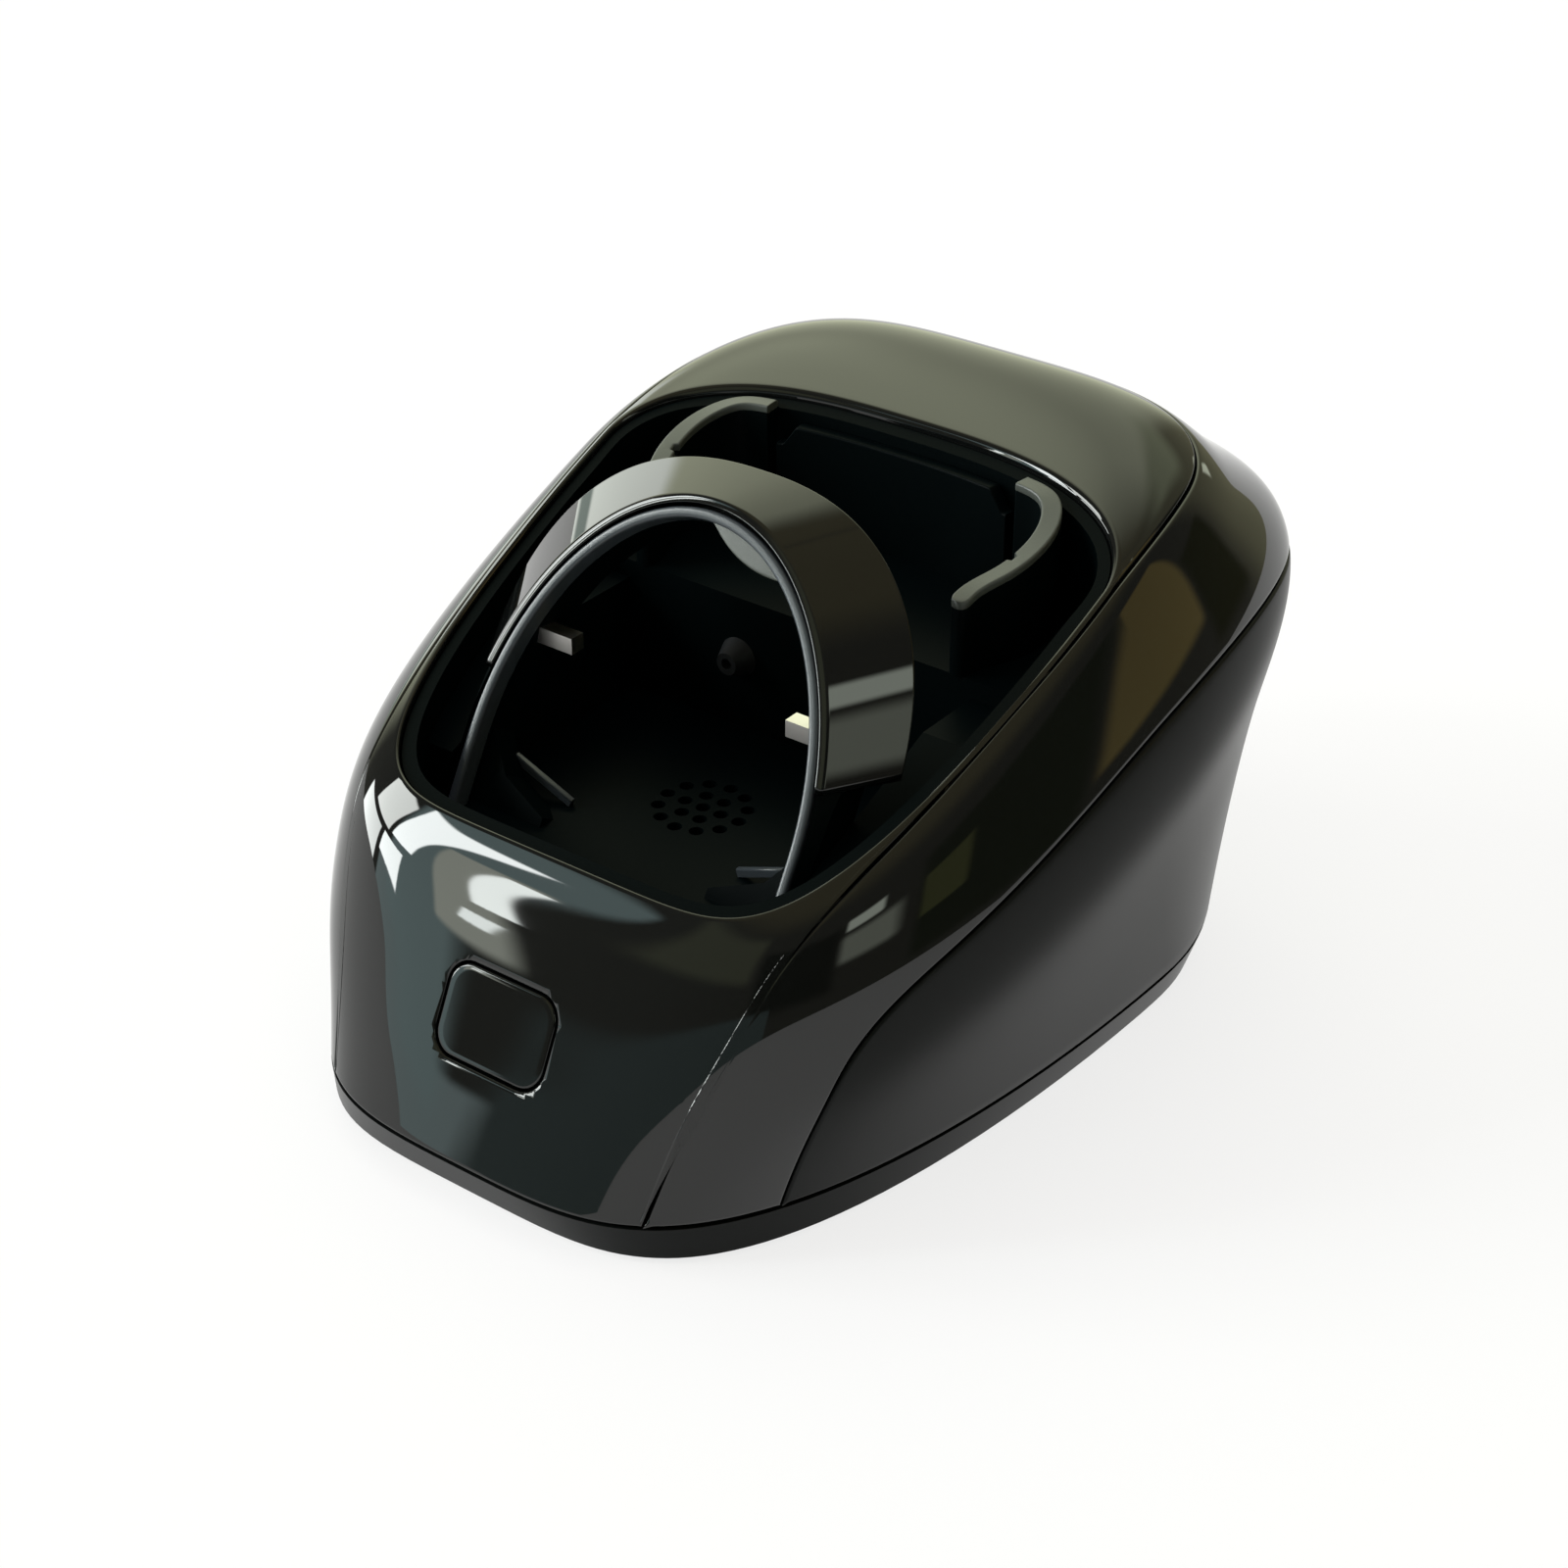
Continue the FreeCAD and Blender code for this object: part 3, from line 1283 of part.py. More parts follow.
def make_screw(hand):
    """A pan-head screw that holds the drive housing to a post of the casing."""
    x, y = hand * size("boss_x"), size("boss_y")
    level = size("bulkhead")
    head_height = 2.0
    low = level - size("bulkhead_thickness")
    head = rod(size("screw_head"), (x, y, low - head_height), (x, y, low))
    shank = rod(size("screw_shank"), (x, y, low), (x, y, level + size("screw_length")))
    return head.fuse(shank)


keep("battery_door", make_battery_door())
for cell in cell_places():
    keep(f"battery_cell_{cell[0]}", make_battery_cell(*cell))
keep("contacts_lower", make_contacts_lower())
keep("contacts_upper", make_contacts_upper())
keep("pump_cover", make_pump_cover())
keep("pump_housing", make_pump_housing())
keep("impeller", make_impeller())
keep("pump_motor", make_pump_motor())
keep("circuit_board", make_circuit_board())
keep("spray_nozzle", make_spray_nozzle())
for place in foot_places():
    keep(place[0], make_foot(*place))
keep("screw_left", make_screw(-1))
keep("screw_right", make_screw(1))


# ---- the files ----


def write_parts():
    doc.recompute()
    os.makedirs("parts", exist_ok=True)
    for thing in doc.Objects:
        bad = {"Invalid", "Error"} & set(thing.State)
        if bad:
            raise RuntimeError(f"{thing.Label}: {bad}")
    for thing in subparts:
        if thing.Shape.isNull() or not thing.Shape.isValid():
            raise RuntimeError(f"{thing.Label}: no valid shape")
    for thing in subparts:
        thing.Shape.exportStep(f"parts/{thing.Label}.step")
        print(f"{thing.Label}: {len(thing.Shape.Solids)} solid, {thing.Shape.Volume / 1000:.2f} cm3")


write_parts()
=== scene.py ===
import bmesh
import bpy
import json
import math
import numpy as np
from mathutils import Matrix, Vector


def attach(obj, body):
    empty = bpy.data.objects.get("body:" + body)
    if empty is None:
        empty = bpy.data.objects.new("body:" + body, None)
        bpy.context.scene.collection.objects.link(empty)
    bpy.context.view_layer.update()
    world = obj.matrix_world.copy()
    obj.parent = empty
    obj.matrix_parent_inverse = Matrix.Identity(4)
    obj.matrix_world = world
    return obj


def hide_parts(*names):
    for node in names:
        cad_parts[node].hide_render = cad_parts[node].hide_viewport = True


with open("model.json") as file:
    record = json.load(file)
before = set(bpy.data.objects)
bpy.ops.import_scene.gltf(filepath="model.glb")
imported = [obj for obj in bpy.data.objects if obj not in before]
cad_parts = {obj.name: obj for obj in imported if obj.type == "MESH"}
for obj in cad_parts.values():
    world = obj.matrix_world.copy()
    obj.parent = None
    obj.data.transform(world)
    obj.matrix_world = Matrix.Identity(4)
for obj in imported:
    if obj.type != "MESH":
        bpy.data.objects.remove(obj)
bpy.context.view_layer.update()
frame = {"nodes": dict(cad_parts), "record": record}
nodes = frame["nodes"]
scene = bpy.context.scene
scene.view_settings.view_transform = "Standard"
mm = 0.001


# The moulded form: closed rings from its seam to the edge of the opening, in millimetres.
form = {
    "stations": [0.08, 0.35, 0.62, 0.80, 0.93, 1.0],
    "halfWidth": [54.1, 58.8, 59.6, 55.1, 48.4, 44.8],
    "front": [-77.3, -72.6, -67.3, -61.9, -57.7, -54.6],
    "widest": [22.7, 11.3, 15.0, 12.6, 10.7, 11.5],
    "rear": [63.3, 74.2, 74.5, 61.2, 45.9, 29.3],
    "frontPower": [0.55, 0.59, 0.51, 0.41, 0.33, 0.30],
    "rearPower": [0.62, 0.56, 0.50, 0.50, 0.58, 0.68],
    "frontHeight": [6.5, 16.5, 27.0, 37.5, 43.5, 46.5],
    "rearHeight": [6.5, 50.6, 69.1, 78.9, 85.2, 80.9],
    "partingStation": 0.08,
    # the cover's parting seen from above (x, y), and the casing's seen from the side (y, z)
    "coverEdge": [
        (25.5, -80.0), (28.9, -72.1), (31.8, -66.2), (34.9, -60.9), (37.5, -55.2),
        (39.9, -46.2), (42.6, -32.7), (44.9, -12.0), (46.0, 6.0), (45.8, 19.3), (44.2, 34.0),
        (41.8, 42.0), (36.0, 49.6), (24.0, 54.4), (0.0, 56.4),
    ],
    "casingEdge": [
        (-58.0, 0.0), (-56.2, 11.0), (-53.4, 22.0), (-50.0, 29.2), (-45.2, 34.4),
        (-33.0, 41.2), (-18.3, 47.2), (0.0, 54.0), (18.2, 59.3), (36.7, 62.2), (52.4, 62.8),
        (66.0, 62.3), (85.0, 61.2),
    ],
    "linePoints": 260,
    "gap": 0.16,  # half of a visible parting
    "edgeRadius": 0.5, "edgeSteps": 6,
    "narrowShare": 0.45,  # the most of a narrow strip's width that a rolled edge takes
    "rimRadius": 1.2, "rimSteps": 10, "rimDrop": 5.7, "rimWall": 1.3,
    "rimRows": 3,  # rows of the inner skin left out under the rim
    "wall": 2.0,
    "columns": 360, "rows": 44,
    "middleReach": 0.5,  # how near the middle plane a patch starts that closes there
}
# How places and slopes on the form are found: steps are in stations and turns.
survey = {
    "station": (0.004, 0.998), "turn": 0.995, "middle": 0.9999, "up": 0.002, "along": 0.003,
    "edgeStation": (0.002, 0.998), "edgeTurn": 0.998, "edgeStep": 0.001, "smoothings": 3,
    "grid": ((0.03, 0.995, 200), (-0.995, 1.0, 400)), "step": 0.0005, "rounds": 12,
    "stride": 0.05, "lowest": (0.01, -0.999), "highest": 0.9985, "miss": 0.2, "clear": 0.02,
    "rearTurn": 0.5, "rearSteps": 80, "rearRounds": 20, "rearStep": 0.001,
}


def splineSlopes(places, values):
    # slopes of the natural cubic spline through values, one row for each place
    h = np.diff(places)
    rise = np.diff(values, axis=0) / h[:, None]
    n = len(places)
    weights, totals = np.zeros((n, n)), np.zeros_like(values)
    weights[0, :2], totals[0] = (2, 1), 3 * rise[0]
    weights[-1, -2:], totals[-1] = (1, 2), 3 * rise[-1]
    for i in range(1, n - 1):
        weights[i, i - 1:i + 2] = h[i], 2 * (h[i - 1] + h[i]), h[i - 1]
        totals[i] = 3 * (h[i] * rise[i - 1] + h[i - 1] * rise[i])
    return np.linalg.solve(weights, totals)


def splineAt(places, values, slopes, at):
    i = np.clip(np.searchsorted(places, at, side="right") - 1, 0, len(places) - 2)
    k = (places[i + 1] - places[i])[..., None]
    u = (at - places[i])[..., None] / k
    return (
        values[i] * (1 + 2 * u) * (1 - u) ** 2 + slopes[i] * k * u * (1 - u) ** 2
        + values[i + 1] * u * u * (3 - 2 * u) + slopes[i + 1] * k * u * u * (u - 1)
    )


ringFields = ["halfWidth", "front", "widest", "rear", "frontPower", "rearPower", "frontHeight",
              "rearHeight"]
ringPlaces = np.array(form["stations"])
ringValues = np.array([form[field] for field in ringFields]).T
ringSlopes = splineSlopes(ringPlaces, ringValues)


def formPoint(station, around):
    # around runs from -1 at the front through the right side to 1 at the rear
    s, u = np.broadcast_arrays(np.asarray(station, float), np.asarray(around, float))
    rings = splineAt(ringPlaces, ringValues, ringSlopes, np.clip(s, 0.0, 1.0))
    halfWidth, front, widest, rear, frontPower, rearPower, low, high = np.moveaxis(rings, -1, 0)
    behind = u >= 0
    power = np.where(behind, rearPower, frontPower)
    length = np.where(behind, rear - widest, widest - front)
    # the angle from the front or rear middle, crowded so that x grows evenly from there
    near = np.pi / 2 * (1 - np.abs(u)) ** (1 / power)
    x = halfWidth * np.sin(near) ** power
    y = widest + np.sign(u) * length * np.cos(near)
    z = low + (y - front) / (rear - front) * (high - low)
    return np.stack([x, y, z], -1)


def formNormal(station, around):
    s = np.clip(station, *survey["station"])
    u = np.clip(around, -survey["turn"], survey["turn"])
    up = formPoint(s + survey["up"], u) - formPoint(s - survey["up"], u)
    along = formPoint(s, u + survey["along"]) - formPoint(s, u - survey["along"])
    n = np.cross(along, up)
    n /= np.linalg.norm(n, axis=-1, keepdims=True)
    middle = np.abs(around) > survey["middle"]
    n[..., 0] = np.where(middle, 0.0, n[..., 0])
    return n / np.linalg.norm(n, axis=-1, keepdims=True)


def smoothLine(points, count):
    # the natural cubic spline through the points, by the length of its chords
    p = np.array(points, float)
    t = np.concatenate([[0], np.cumsum(np.linalg.norm(np.diff(p, axis=0), axis=1))])
    return splineAt(t, p, splineSlopes(t, p), np.linspace(0, t[-1], count))


def evenly(path, count):
    # resamples a path of (station, around) pairs by its length on the form
    places = formPoint(path[:, 0], path[:, 1])
    t = np.concatenate([[0], np.cumsum(np.linalg.norm(np.diff(places, axis=0), axis=1))])
    q = np.linspace(0, t[-1], count)
    return np.stack([np.interp(q, t, path[:, 0]), np.interp(q, t, path[:, 1])], -1)


def partingPath(line, axes):
    # puts a flat curve on the form: its points agree with the form's in the two named axes
    s, u = np.meshgrid(*(np.linspace(*ends) for ends in survey["grid"]), indexing="ij")
    known = formPoint(s, u)[..., axes]
    step, least, most = survey["step"], survey["lowest"], survey["highest"]
    path = []
    for point in line:
        away = ((known - point) ** 2).sum(-1)
        i, j = np.unravel_index(away.argmin(), away.shape)
        place = np.array([s[i, j], u[i, j]])
        for _ in range(survey["rounds"]):
            place = np.clip(place, least, [most, 1 - 2 * step])
            here = formPoint(*place)[axes]
            turn = np.stack([
                (formPoint(place[0] + step, place[1])[axes] - here) / step,
                (formPoint(place[0], place[1] + step)[axes] - here) / step,
            ], 1)
            move = np.linalg.lstsq(turn, point - here, rcond=None)[0]
            place = place + np.clip(move, -survey["stride"], survey["stride"])
        place = np.clip(place, least, [most, 1.0])
        if np.linalg.norm(formPoint(*place)[axes] - point) < survey["miss"]:
            path.append(place)
    path = np.array(path)
    # from the parting with the tray up, and on to the middle of the rear
    first = np.argmax(path[:, 0] > form["partingStation"])
    low, high = path[first - 1], path[first]
    start = low + (high - low) * (form["partingStation"] - low[0]) / (high[0] - low[0])
    path = path[first:]
    return np.vstack([start, path[path[:, 0] > start[0] + survey["clear"]]])


def roundTheRear(path, line):
    # the last stretch of the casing's parting, which runs level over the flat rear
    path = path[path[:, 1] < survey["rearTurn"]]
    around = np.linspace(path[-1, 1], 1, survey["rearSteps"])[1:]
    station = np.full(len(around), path[-1, 0])

    def miss(station):
        place = formPoint(station, around)
        return place[:, 2] - np.interp(place[:, 1], line[:, 0], line[:, 1])

    step = survey["rearStep"]
    for _ in range(survey["rearRounds"]):
        slope = (miss(station + step) - miss(station)) / step
        station = station - miss(station) / slope
    return np.vstack([path, np.stack([station, around], -1)])


def insideOf(path, margin):
    # moves a path on the form to its left by a margin, and gives the way it went
    p = formPoint(path[:, 0], path[:, 1])
    n = formNormal(path[:, 0], path[:, 1])
    ahead = np.gradient(p, axis=0)
    side = np.cross(n, ahead)
    side /= np.linalg.norm(side, axis=1, keepdims=True)
    for _ in range(survey["smoothings"]):
        side[1:-1] = (side[:-2] + side[1:-1] * 2 + side[2:]) / 4
    side /= np.linalg.norm(side, axis=1, keepdims=True)
    ends = np.abs(path[:, 1]) > survey["middle"]
    side[ends, 0] = 0.0
    step, (low, high), turn = survey["edgeStep"], survey["edgeStation"], survey["edgeTurn"]
    out = path.copy()
    margin = np.broadcast_to(margin, len(path))
    for k in range(len(path)):
        s0 = min(max(path[k, 0], low), high)
        u0 = min(max(path[k, 1], -turn), turn)
        ds = (formPoint(s0 + step, u0) - formPoint(s0 - step, u0)) / (2 * step)
        du = (formPoint(s0, u0 + step) - formPoint(s0, u0 - step)) / (2 * step)
        if ends[k]:
            out[k, 0] += margin[k] * np.dot(side[k], ds) / np.dot(ds, ds)
            continue
        move = np.linalg.lstsq(np.stack([ds, du], 1), side[k] * margin[k], rcond=None)[0]
        out[k] += move
    out[:, 1] = np.clip(out[:, 1], -1, 1)
    return out, side


meshing = {"weld": 0.000004, "evenWeight": 80}


def meshFrom(name, verts, faces, body, slot, stands=()):
    # makes one piece out of points in millimetres
    mesh = bpy.data.meshes.new(name)
    mesh.from_pydata([tuple(v) for v in np.asarray(verts) * mm], [], faces)
    work = bmesh.new()
    work.from_mesh(mesh)
    bmesh.ops.remove_doubles(work, verts=work.verts, dist=meshing["weld"])
    bmesh.ops.recalc_face_normals(work, faces=work.faces)
    work.to_mesh(mesh)
    work.free()
    mesh.shade_smooth()
    piece = bpy.data.objects.new(name, mesh)
    scene.collection.objects.link(piece)
    mesh.materials.append(finishOf(slot))
    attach(piece, body)
    if stands:
        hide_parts(*stands)
    return piece


def gridFaces(rows, columns, closed=False, wrap=False):
    # closed joins the last column to the first, wrap the last row to the first
    faces = []
    for r in range(rows if wrap else rows - 1):
        for c in range(columns if closed else columns - 1):
            d, q = (c + 1) % columns, (r + 1) % rows
            faces.append((r * columns + c, r * columns + d, q * columns + d, q * columns + c))
    return faces


def evenOut(piece):
    # lets the large faces set the shading, and not the small ones of the edges
    even = piece.modifiers.new("even", "WEIGHTED_NORMAL")
    even.weight = meshing["evenWeight"]


def sweptPiece(name, rings, body, slot, stands=(), loop=False):
    # closed rings of points joined into one skin, with flat ends unless it is a loop
    count, around = rings.shape[:2]
    faces = gridFaces(count, around, closed=True, wrap=loop)
    if not loop:
        faces += [tuple(range(around)), tuple(range((count - 1) * around, count * around))]
    piece = meshFrom(name, rings.reshape(-1, 3), faces, body, slot, stands)
    evenOut(piece)
    return piece


def roundedRings(corners, radii, steps=5):
    # each corner is a row of points, one for each ring; its radius rounds it in every ring
    rows = []
    for k, corner in enumerate(corners):
        ends = []
        for other in (corners[k - 1], corners[(k + 1) % len(corners)]):
            way = other - corner
            length = np.linalg.norm(way, axis=-1, keepdims=True)
            reach = np.minimum(radii[k], length * form["narrowShare"])
            ends.append(corner + way / np.maximum(length, 1e-6) * reach)
        for t in np.linspace(0, 1, steps + 1):
            rows.append(ends[0] * (1 - t) ** 2 + corner * 2 * t * (1 - t) + ends[1] * t * t)
    return np.stack(rows, 1)


def cutOut(piece, cutter):
    # takes the cutter's solid out of a piece for good
    cut = piece.modifiers.new("cut", "BOOLEAN")
    cut.operation, cut.solver, cut.object = "DIFFERENCE", "EXACT", cutter
    graph = bpy.context.evaluated_depsgraph_get()
    result = bpy.data.meshes.new_from_object(piece.evaluated_get(graph))
    piece.modifiers.remove(cut)
    piece.data = result
    bpy.data.objects.remove(cutter)


def shellPatch(name, start, end, slot, stands, rim=False):
    # a moulded wall between two paths on the form, with rolled edges
    wall = form["wall"]
    places = [formPoint(path[:, 0], path[:, 1]) for path in (start, end)]
    width = np.linalg.norm(places[1] - places[0], axis=1)
    edge = form["gap"] + form["edgeRadius"]
    margin = np.minimum(edge, width * form["narrowShare"])
    radius = (margin * form["edgeRadius"] / edge)[:, None]
    first, firstSide = insideOf(start, margin)
    last, lastSide = insideOf(end, -form["rimRadius"] if rim else -margin)
    share = np.linspace(0, 1, form["rows"])[:, None, None]
    grid = first[None] * (1 - share) + last[None] * share
    skin = formPoint(grid[..., 0], grid[..., 1])
    normal = formNormal(grid[..., 0], grid[..., 1])
    inner = skin - normal * wall

    def rolled(row, out):
        lines = []
        for t in np.linspace(0, math.pi / 2, form["edgeSteps"] + 1)[1:]:
            lines.append(skin[row] + out * radius * math.sin(t)
                         - normal[row] * radius * (1 - math.cos(t)))
        lines.append(skin[row] + out * radius - normal[row] * wall)
        return lines

    below = rolled(0, -firstSide)
    if rim:
        size, drop = form["rimRadius"], np.array([0, 0, form["rimDrop"]])
        top = skin[-1]
        corner = top + lastSide * size
        foot = corner - np.array([0, 0, size])
        above = [top * (1 - t) ** 2 + corner * 2 * t * (1 - t) + foot * t * t
                 for t in np.linspace(0, 1, form["rimSteps"] + 1)[1:]]
        above += [foot - drop, foot - drop - lastSide * form["rimWall"]]
        back = list(inner[-1 - form["rimRows"]::-1])
    else:
        above = rolled(-1, lastSide)
        back = list(inner[-2:0:-1])
    stack = np.array(below[::-1] + list(skin) + above + back)
    # a patch that starts in the middle plane closes there with its mirror image
    whole = abs(skin[0, 0, 0]) < form["middleReach"]
    left = stack[:, -2:0:-1] if whole else stack[:, -2::-1]
    stack = np.concatenate([stack, left * np.array([-1, 1, 1])], axis=1)
    rows, columns = stack.shape[:2]
    faces = gridFaces(rows, columns, closed=whole, wrap=True)
    if not whole:
        faces += [tuple(r * columns for r in range(rows)),
                  tuple(r * columns + columns - 1 for r in range(rows))]
    return meshFrom(name, stack.reshape(-1, 3), faces, "top_unit", slot, stands)


texture = {"hazeScale": 38.0, "hazeDetail": 4.0, "grainScale": 2500.0, "grainDetail": 2.0,
           "grainDepth": 0.0001}


def plainMaterial(name, colour, roughness, specular=0.5, metallic=0.0, grain=0.0, wear=0.03):
    # haze varies the roughness by the wear, and grain is a fine bump
    material = bpy.data.materials.new(name)
    material.use_nodes = True
    tree = material.node_tree
    shader = tree.nodes["Principled BSDF"]
    shader.inputs["Base Color"].default_value = (*colour, 1)
    shader.inputs["Specular IOR Level"].default_value = specular
    shader.inputs["Metallic"].default_value = metallic
    place = tree.nodes.new("ShaderNodeTexCoord")
    haze = tree.nodes.new("ShaderNodeTexNoise")
    haze.inputs["Scale"].default_value = texture["hazeScale"]
    haze.inputs["Detail"].default_value = texture["hazeDetail"]
    spread = tree.nodes.new("ShaderNodeMapRange")
    spread.inputs["To Min"].default_value = max(roughness - wear, 0.0)
    spread.inputs["To Max"].default_value = roughness + wear
    tree.links.new(place.outputs["Object"], haze.inputs["Vector"])
    tree.links.new(haze.outputs["Fac"], spread.inputs["Value"])
    tree.links.new(spread.outputs["Result"], shader.inputs["Roughness"])
    if grain:
        speck = tree.nodes.new("ShaderNodeTexNoise")
        speck.inputs["Scale"].default_value = texture["grainScale"]
        speck.inputs["Detail"].default_value = texture["grainDetail"]
        bump = tree.nodes.new("ShaderNodeBump")
        bump.inputs["Strength"].default_value = grain
        bump.inputs["Distance"].default_value = texture["grainDepth"]
        tree.links.new(place.outputs["Object"], speck.inputs["Vector"])
        tree.links.new(speck.outputs["Fac"], bump.inputs["Height"])
        tree.links.new(bump.outputs["Normal"], shader.inputs["Normal"])
    return material


finishes = {
    "glossBlack": plainMaterial("glossBlack", (0.004, 0.0045, 0.0045), 0.022, wear=0.006),
    "satinBlack": plainMaterial("satinBlack", (0.006, 0.007, 0.007), 0.3, specular=0.12,
                                grain=0.05),
    # dark tub: partly the moulding's own black, partly painted shade: its colour is set darker
    # than the gloss black and its specular nearly off, so that the deep inside of the basin stays
    # dark
    "darkTub": plainMaterial("darkTub", (0.0008, 0.0022, 0.0025), 0.42, specular=0.03,
                             grain=0.08),
    "softGrey": plainMaterial("softGrey", (0.035, 0.042, 0.05), 0.3, grain=0.1),
    # satin grey is painted sheen: a grey lighter than the black plastic beside it, standing for
    # the light caught on the cradle's flat tops and on the crescent tab inside the arch
    "satinGrey": plainMaterial("satinGrey", (0.055, 0.062, 0.055), 0.4, grain=0.15),
    "brightMetal": plainMaterial("brightMetal", (0.75, 0.73, 0.7), 0.3, metallic=1.0),
    "motorSteel": plainMaterial("motorSteel", (0.5, 0.5, 0.5), 0.35, metallic=1.0),
    "innerPlastic": plainMaterial("innerPlastic", (0.012, 0.013, 0.014), 0.5, specular=0.2,
                                  grain=0.2),
    "whitePlastic": plainMaterial("whitePlastic", (0.75, 0.75, 0.72), 0.4, grain=0.1),
    "cartridgePlastic": plainMaterial("cartridgePlastic", (0.25, 0.36, 0.5), 0.35, grain=0.1),
    "clearTube": plainMaterial("clearTube", (0.55, 0.58, 0.58), 0.25),
    "blackRubber": plainMaterial("blackRubber", (0.015, 0.015, 0.015), 0.7, grain=0.3),
    "cellJacket": plainMaterial("cellJacket", (0.06, 0.14, 0.06), 0.3),
    "board": plainMaterial("board", (0.01, 0.12, 0.05), 0.4),
}


def finishOf(slot):
    # the finish is named after its slot: glossBlack for gloss_black
    first, *others = slot.split("_")
    return finishes[first + "".join(word.capitalize() for word in others)]


for part in frame["record"]["subparts"]:
    solid = nodes[part["node"]]
    solid.data.materials.clear()
    solid.data.materials.append(finishOf(part["material_slot"]))
print("CAD nodes dressed")


coverPath = partingPath(smoothLine(form["coverEdge"], form["linePoints"]), [0, 1])
coverPath[-1, 1] = 1.0
casingLine = smoothLine(form["casingEdge"], form["linePoints"])
casingPath = roundTheRear(partingPath(casingLine, [1, 2]), casingLine)


def levelPath(station, low, high, count):
    return np.stack([np.full(count, station), np.linspace(low, high, count)], -1)


shellPaths = {"short": 300, "long": 900}
seam, columns = form["partingStation"], form["columns"]
coverStart, casingStart = coverPath[0, 1], casingPath[0, 1]
rimPath = levelPath(1.0, -1, 1, shellPaths["long"])
coverLow = np.concatenate([
    levelPath(seam, -1, coverStart, shellPaths["short"])[:-1], coverPath])
bandLow = np.concatenate([
    levelPath(seam, coverStart, casingStart, shellPaths["short"])[:-1], casingPath])
casingLow = levelPath(seam, casingStart, 1, shellPaths["long"])
cover = shellPatch("topCover", evenly(coverLow, columns), evenly(rimPath, columns),
                   "gloss_black", ["top_cover"], rim=True)
shellPatch("sideBand", evenly(bandLow, columns), evenly(coverPath, columns),
           "gloss_black", ["side_band"])
shellPatch("lowerCasing", evenly(casingLow, columns), evenly(casingPath, columns),
           "satin_black", ["lower_casing"])
print("shells made")


button = {
    "middle": (0.0, -68.2, 25.3),
    "tilt": 27.0,  # lean of the travel from level
    "width": 19.2, "height": 13.4, "corner": 3.5,
    "gap": 0.4, "roll": 0.4, "holeRoll": 0.3,
    "skirt": 5.0, "rings": 14, "rollSteps": 6, "cornerSteps": 8, "sideSteps": 7,
    "holeDepth": 9.0, "holeTurn": 70.0, "holeLip": 1.1, "holeRise": 0.25, "holeReach": 6.0,
    # the start, step, rounds and bounds of the search for points on the front
    "from": (0.45, 0.1), "step": 1e-5, "rounds": 25, "stride": 0.1,
    "stations": (0.09, 0.99), "turns": (1e-7, 0.9),
}
buttonIn = np.array([0, math.cos(math.radians(button["tilt"])),
                     -math.sin(math.radians(button["tilt"]))])
buttonUp = np.array([0, -buttonIn[2], buttonIn[1]])


def buttonOutline(margin):
    # the rounded outline, (across, up) from the middle, grown by a margin
    width, height = button["width"] / 2 + margin, button["height"] / 2 + margin
    corner = button["corner"] + margin
    signs = [(1, 1), (-1, 1), (-1, -1), (1, -1)]
    middles = [np.array([sx * (width - corner), sy * (height - corner)]) for sx, sy in signs]

    def onCorner(k, turn):
        return middles[k % 4] + corner * np.array([math.cos(turn), math.sin(turn)])

    line = []
    for k in range(4):
        start, end = k * math.pi / 2, (k + 1) * math.pi / 2
        line += [onCorner(k, start + t)
                 for t in np.linspace(0, math.pi / 2, button["cornerSteps"] + 1)]
        last, following = line[-1], onCorner(k + 1, end)
        line += [last * (1 - t) + following * t
                 for t in np.linspace(0, 1, button["sideSteps"] + 1)[1:-1]]
    return np.array(line)


def onTheFront(places):
    # the form's points that lie behind the given places of the button's plane
    step, stride = button["step"], button["stride"]
    across, up = np.abs(places[:, 0]) + step, places[:, 1]
    middle = np.array(button["middle"])
    s, w = (np.full(len(across), value) for value in button["from"])

    def miss(s, w):
        p = formPoint(s, w - 1)
        return np.stack([p[:, 0] - across, (p - middle) @ buttonUp - up], -1)

    for _ in range(button["rounds"]):
        here = miss(s, w)
        a, b = (miss(s + step, w) - here) / step, (miss(s, w + step) - here) / step
        scale = a[:, 0] * b[:, 1] - a[:, 1] * b[:, 0]
        ds = (here[:, 0] * b[:, 1] - here[:, 1] * b[:, 0]) / scale
        dw = (a[:, 0] * here[:, 1] - a[:, 1] * here[:, 0]) / scale
        s = np.clip(s - np.clip(ds, -stride, stride), *button["stations"])
        w = np.clip(w - np.clip(dw, -stride, stride), *button["turns"])
    p = formPoint(s, w - 1)
    p[:, 0] *= np.sign(places[:, 0])
    return p


def makeButton():
    roll = button["roll"]
    rings = []
    for share in np.linspace(0, 1, button["rings"])[1:]:
        rings.append(onTheFront(buttonOutline(-roll) * share))
    for t in np.linspace(0, math.pi / 2, button["rollSteps"] + 1)[1:]:
        rim = onTheFront(buttonOutline(-roll + roll * math.sin(t)))
        rings.append(rim + buttonIn * roll * (1 - math.cos(t)))
    rings.append(rings[-1] + buttonIn * button["skirt"])
    rings = np.array(rings)
    around = rings.shape[1]
    centre = onTheFront(np.zeros((1, 2)))
    verts = np.vstack([rings.reshape(-1, 3), centre])
    faces = gridFaces(len(rings), around, closed=True)
    faces += [(len(verts) - 1, i, (i + 1) % around) for i in range(around)]
    faces.append(tuple(range((len(rings) - 1) * around, len(rings) * around)))
    return meshFrom("startButton", verts, faces, "button", "gloss_black", ["start_button"])


